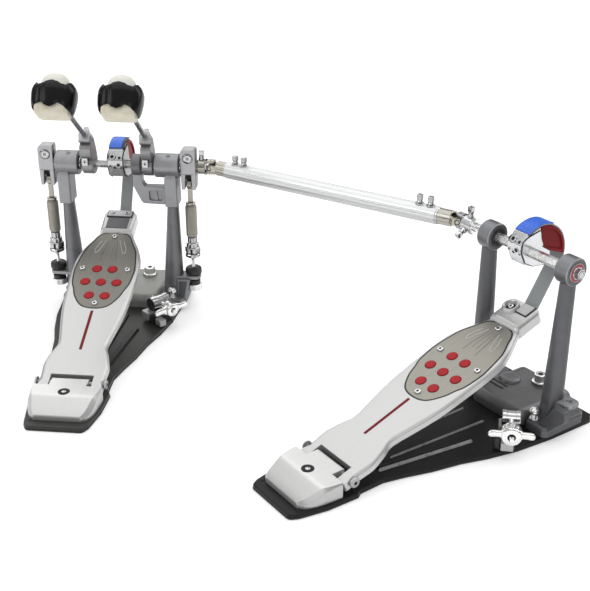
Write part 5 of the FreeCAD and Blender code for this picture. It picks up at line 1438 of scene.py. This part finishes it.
# slave axle: fork, journals, hexagon, end bolt
SA = S @ T(-93.0, 0, H)
piece("slave_fork", fork(24, 9, True, 2.42), "slave_axle", cam_chrome, SA)
g = Geo().add(key_bolt(13.0, 3.8), T(16.5, 0, 9.3)).add(key_bolt(13.0, 3.8), T(16.5, 0, 0) @ R(115, "X") @ T(0, 0, 9.3))
piece("slave_fork_keys", g, "slave_axle", chrome, SA)
g = hex_bar(61.5, 157.5).add(rod(5.0, 23.0, 61.8, 0.6)).add(rod(5.0, 157.3, 176.6, 0.6))
g.add(hoop(5.02, 8.8, 24.4, 25.8, 0.3, 36))
piece("slave_axle_bar", g, "slave_axle", axle_steel, SA @ XAX, "slave_hex_axle")
g = prism(rounded(hexagon(11, 0.2), 0.6, 3), [(0.3, 177.4), (0, 177.8), (0, 182.0), (0.5, 182.6), (1.4, 183.0)])
g.add(lathe([(0, 176.2), (7.0, 176.2), (7.2, 176.7), (6.9, 177.6), (0, 177.6)], 36))
g.add(lathe([(0, 182.4), (2.6, 182.4), (2.6, 182.98), (0, 183.0)], 20, [1, 1, 1]))
piece("slave_end_bolt", g, "slave_axle", [chrome, dark], SA @ XAX)

# ------------------------------------------------------------------ studio
bm = bmesh.new()
bmesh.ops.create_grid(bm, x_segments=2, y_segments=2, size=9.0)
me = bpy.data.meshes.new("floor")
bm.to_mesh(me)
bm.free()
floor = bpy.data.objects.new("floor", me)
floor.location = (0.25, 1.0, -0.0002)
me.materials.append(material("floor_paint", (0.93, 0.93, 0.93), 0.75, 0.0, vary=0.005, grain=2, rough_vary=0.03, floor=True,
                             Specular_IOR_Level=0.1, Emission_Color=(1, 1, 1, 1), Emission_Strength=0.28))
scene.collection.objects.link(floor)

world = bpy.data.worlds.new("studio")
scene.world = world
world.use_nodes = True
nt = world.node_tree
bg = nt.nodes["Background"]
tc = nt.nodes.new("ShaderNodeTexCoord")
sep = nt.nodes.new("ShaderNodeSeparateXYZ")
ramp = nt.nodes.new("ShaderNodeValToRGB")
nt.links.new(tc.outputs["Generated"], sep.inputs["Vector"])
mr = nt.nodes.new("ShaderNodeMapRange")
mr.inputs["From Min"].default_value, mr.inputs["From Max"].default_value = -1.0, 1.0
nt.links.new(sep.outputs["Z"], mr.inputs["Value"])
nt.links.new(mr.outputs["Result"], ramp.inputs["Fac"])
el = ramp.color_ramp.elements
el[0].position, el[0].color = 0.48, (0.42, 0.42, 0.42, 1)
el[1].position, el[1].color = 0.54, (0.16, 0.16, 0.165, 1)
for at_z, grey in ((0.62, 0.26), (0.69, 0.52), (0.78, 0.60), (0.90, 0.70)):
    e = el.new(at_z)
    e.color = (grey, grey, grey, 1)
nt.links.new(ramp.outputs["Color"], bg.inputs["Color"])
bg.inputs["Strength"].default_value = 0.8


def soft_light(name, where, look, size, watts, colour=(1, 1, 1)):
    d = bpy.data.lights.new(name, "AREA")
    d.shape = "RECTANGLE"
    d.size, d.size_y = size
    d.energy = watts
    d.color = colour
    o = bpy.data.objects.new(name, d)
    o.location = where
    o.rotation_euler = (Vector(look) - Vector(where)).to_track_quat("-Z", "Y").to_euler()
    scene.collection.objects.link(o)
    return o


MID = (0.24, -0.15, 0.12)
soft_light("key", (-2.2, -1.4, 1.8), MID, (2.0, 2.0), 24)
soft_light("overhead", (0.2, 0.5, 2.7), (0.2, 0.0, 0), (3.6, 3.2), 33)
soft_light("back_left", (-1.25, 2.6, 1.75), (-0.1, -0.2, 0.1), (2.9, 1.7), 16)
soft_light("rim", (2.0, 0.9, 1.3), MID, (1.2, 1.8), 12)
soft_light("front", (1.0, -2.5, 1.6), MID, (2.0, 1.0), 8)

cam_data = bpy.data.cameras.new("camera")
cam_data.lens = 68.786
cam_data.sensor_width = 36.0
cam_data.sensor_fit = "AUTO"
cam_data.clip_start, cam_data.clip_end = 0.01, 50.0
camera = bpy.data.objects.new("camera", cam_data)
camera.location = (0.380986, -1.366658, 0.697585)
camera.rotation_euler = (math.radians(63.7469), 0.0019, math.radians(5.9207))
scene.collection.objects.link(camera)
scene.camera = camera
scene.view_settings.view_transform = "Standard"
scene.view_settings.look = "None"
